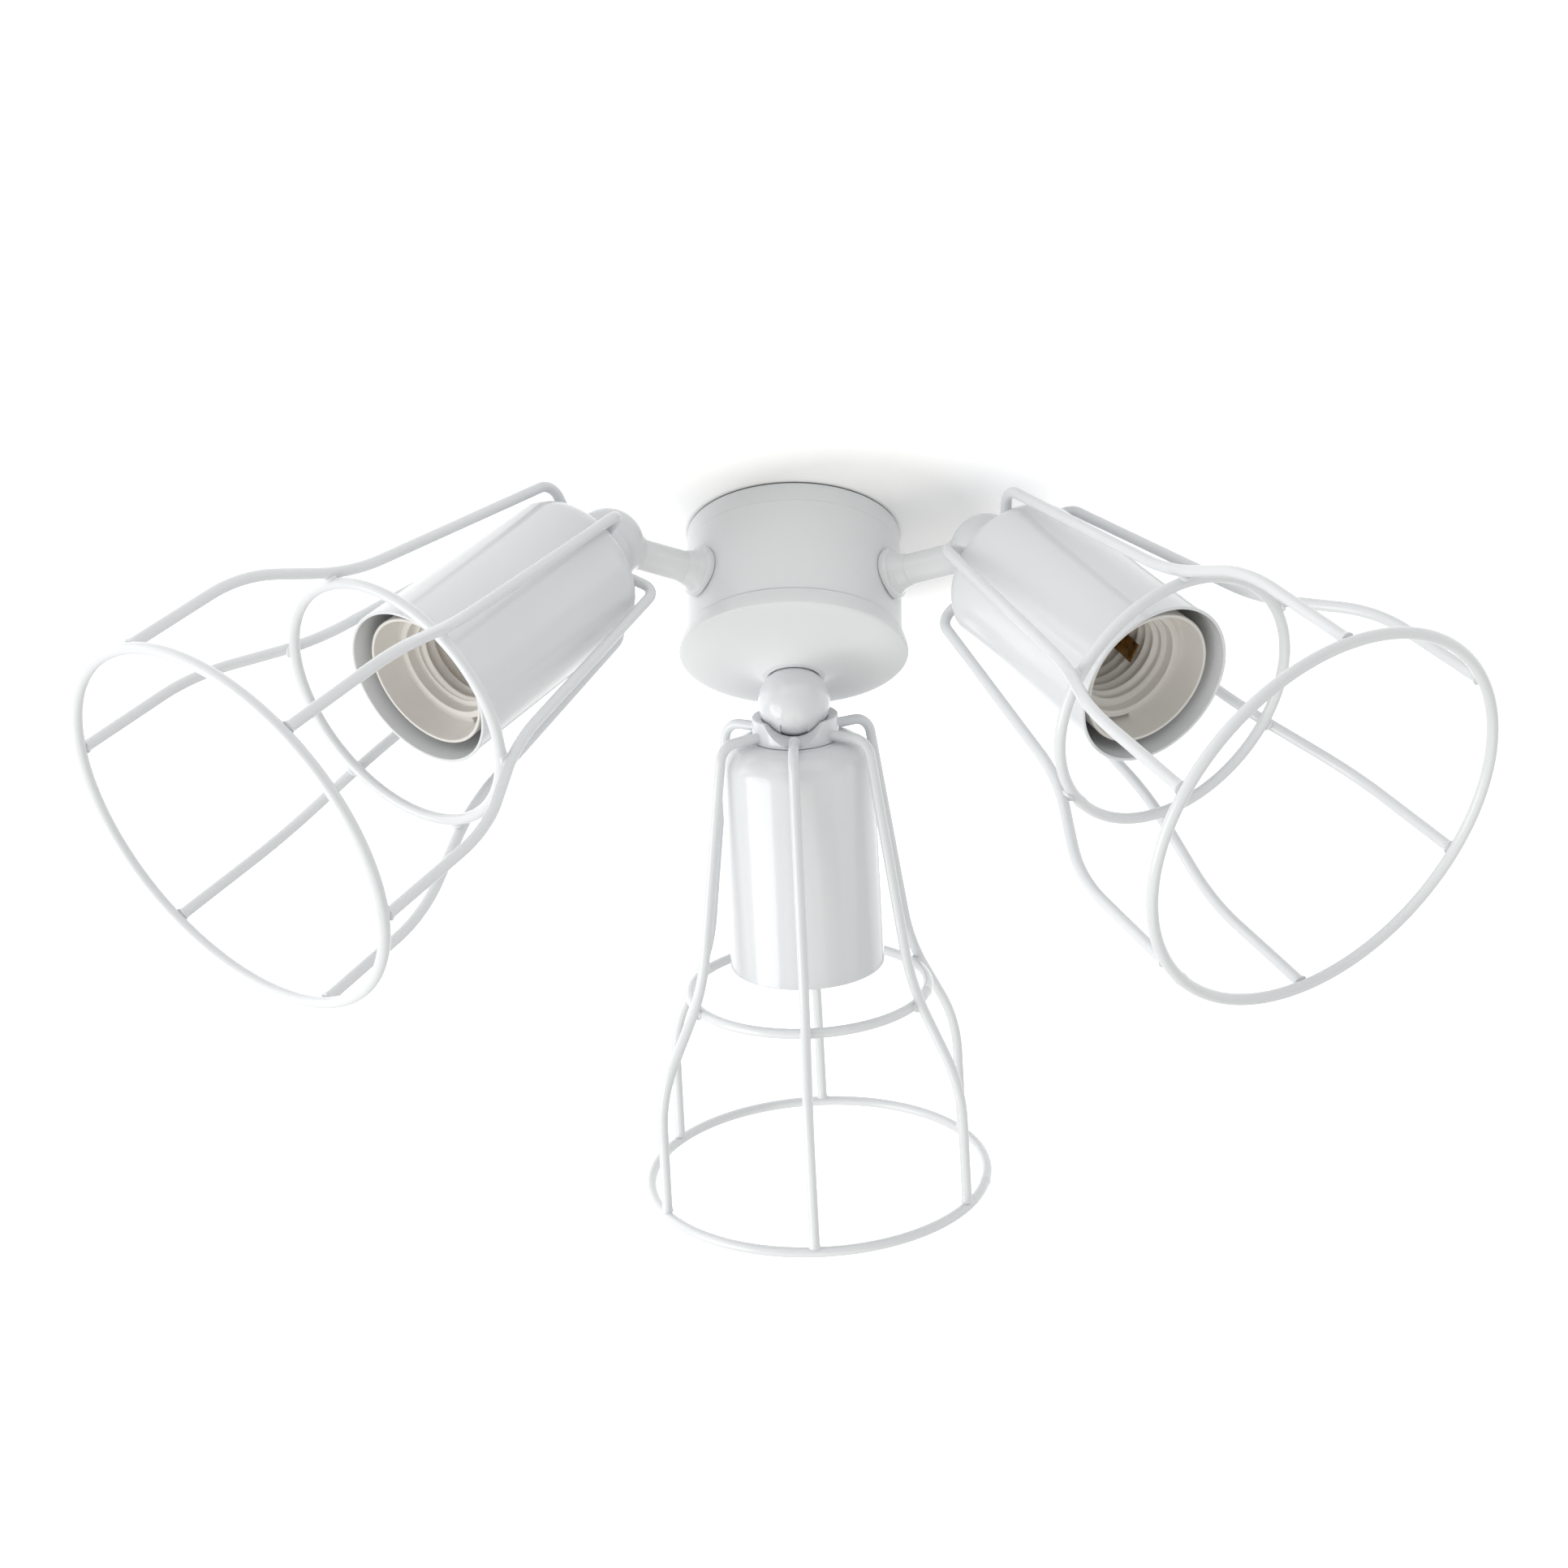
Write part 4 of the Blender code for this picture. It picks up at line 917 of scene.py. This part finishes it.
# Cage wires: six rods of 3.4 mm steel for each head, bent in a jig. Each is welded square to the socket
# ring, runs down beside the cup, turns outward below it and ends in a weld on the large ring's back.
WIRE_RADIUS = 0.0017
WIRE_COUNT = 6
WIRE_START = 0.0097
LARGE_RING = 0.1666
LARGE_RING_RADIUS = 0.0572
WIRE_CORNERS = ((0.0122, WIRE_START, 0.0), (0.0268, WIRE_START, 0.0060), (0.0392, 0.0910, 0.0700),
                (0.0564, 0.1240, 0.0500), (LARGE_RING_RADIUS, LARGE_RING - 0.0008, 0.0))
WIRE_STEP = 0.0009
WIRE_SIDES = 20
WELD_START = 0.0003
WELD_END = 0.0006
WELD_LENGTH = 0.0013


def even_steps(line, step):
    """The line's points again, spaced evenly by their distance along it."""
    length = np.concatenate([[0.0], np.linalg.norm(np.diff(line, axis=0), axis=1).cumsum()])
    marks = np.linspace(0.0, length[-1], round(length[-1] / step) + 1)
    return np.column_stack([np.interp(marks, length, line[:, 0]), np.interp(marks, length, line[:, 1])]), marks


def in_head(node, side):
    """A CAD piece's points in the frame of its own head."""
    mesh = frame["nodes"][node].data
    points = np.empty(len(mesh.vertices) * 3, np.float32)
    mesh.vertices.foreach_get("co", points)
    place = head_place[side]
    return (points.reshape(-1, 3) - place[:3, 3]) @ place[:3, :3]


wire_white = powder_coat("wire_powder_coat", gloss=0.20, white=HEAD_SHADED_WHITE)
wire_line, wire_marks = even_steps(rounded_line(WIRE_CORNERS, 12), WIRE_STEP)
swell = WELD_START * np.exp(-(wire_marks / WELD_LENGTH) ** 2)
swell += WELD_END * np.exp(-((wire_marks[-1] - wire_marks) / WELD_LENGTH) ** 2)
wire_radii = (WIRE_RADIUS + swell)[:, None]
wire_radii[[0, -1]] = 0.0
round_turn = np.arange(WIRE_SIDES) * math.tau / WIRE_SIDES
first_turn = {}
for side in SIDES:
    middle = in_head("cage_wire_%s_1" % side, side).mean(axis=0)
    first_turn[side] = math.atan2(middle[1], middle[0])
    for count in range(WIRE_COUNT):
        wire_turn = first_turn[side] + math.tau * count / WIRE_COUNT
        wire_grid = carried(wire_line, wire_radii * np.cos(round_turn), wire_radii * np.sin(round_turn),
                            wire_turn)
        wire = skinned("wire_%s_%d" % (side, count + 1), wire_grid, head_place[side], looped=False)
        wire.data.materials.append(wire_white)
        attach(wire, "head_" + side)
        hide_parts("cage_wire_%s_%d" % (side, count + 1))


# Cage rings: the same wire, rolled round and butt-welded. The small ring lies inside the six wires just
# below the cup, with a bead of weld at each crossing. The large ring closes their ends.
MID_RING = 0.0985
BUTT_SWELL = 0.00022
BUTT_LENGTH = 0.0012
BUTT_TURNS = {"left": 41.5, "centre": 100.0, "right": 7.8}
BEAD_SIZE = (0.0011, 0.0021, 0.0020)
RING_ROWS = 300


def wire_ring(radius, height, butt_turn):
    """Grid of a closed wire ring, a little thicker where its ends were welded together."""
    turn = (np.arange(RING_ROWS) * math.tau / RING_ROWS)[:, None]
    off_butt = (turn - math.radians(butt_turn) + math.pi) % math.tau - math.pi
    thickness = WIRE_RADIUS + BUTT_SWELL * np.exp(-(radius * off_butt / BUTT_LENGTH) ** 2)
    distance = radius + thickness * np.cos(round_turn)
    return np.stack([distance * np.cos(turn), distance * np.sin(turn),
                     height + thickness * np.sin(round_turn)], axis=-1)


near_ring = np.abs(wire_line[:, 1] - MID_RING) < 2 * WIRE_RADIUS
offsets = wire_line[near_ring, 1] - MID_RING
ring_reach = wire_line[near_ring, 0] - np.sqrt(4 * WIRE_RADIUS ** 2 - offsets ** 2)
mid_radius = ring_reach.min() + 0.0001
bead_polar = np.linspace(0.0, math.pi, 13)[:, None]
bead = np.stack([np.cos(bead_polar) + 0 * round_turn, np.sin(bead_polar) * np.cos(round_turn),
                 np.sin(bead_polar) * np.sin(round_turn)], axis=-1)
bead = bead * BEAD_SIZE + (mid_radius + WIRE_RADIUS, 0.0, MID_RING)
for side in SIDES:
    for label, radius, height in (("mid", mid_radius, MID_RING), ("large", LARGE_RING_RADIUS, LARGE_RING)):
        hoop_grid = wire_ring(radius, height, BUTT_TURNS[side])
        hoop = skinned("hoop_%s_%s" % (label, side), hoop_grid, head_place[side])
        hoop.data.materials.append(wire_white)
        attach(hoop, "head_" + side)
        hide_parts("cage_ring_%s_%s" % (label, side))
    turns = first_turn[side] + np.arange(WIRE_COUNT) * math.tau / WIRE_COUNT
    cosine, sine = np.cos(turns)[:, None, None], np.sin(turns)[:, None, None]
    beads = np.stack([bead[..., 0] * cosine - bead[..., 1] * sine, bead[..., 0] * sine + bead[..., 1] * cosine,
                      bead[..., 2] + 0 * cosine], axis=-1)
    welds = skinned("weld_beads_" + side, beads, head_place[side], looped=False)
    welds.data.materials.append(wire_white)
    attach(welds, "head_" + side)
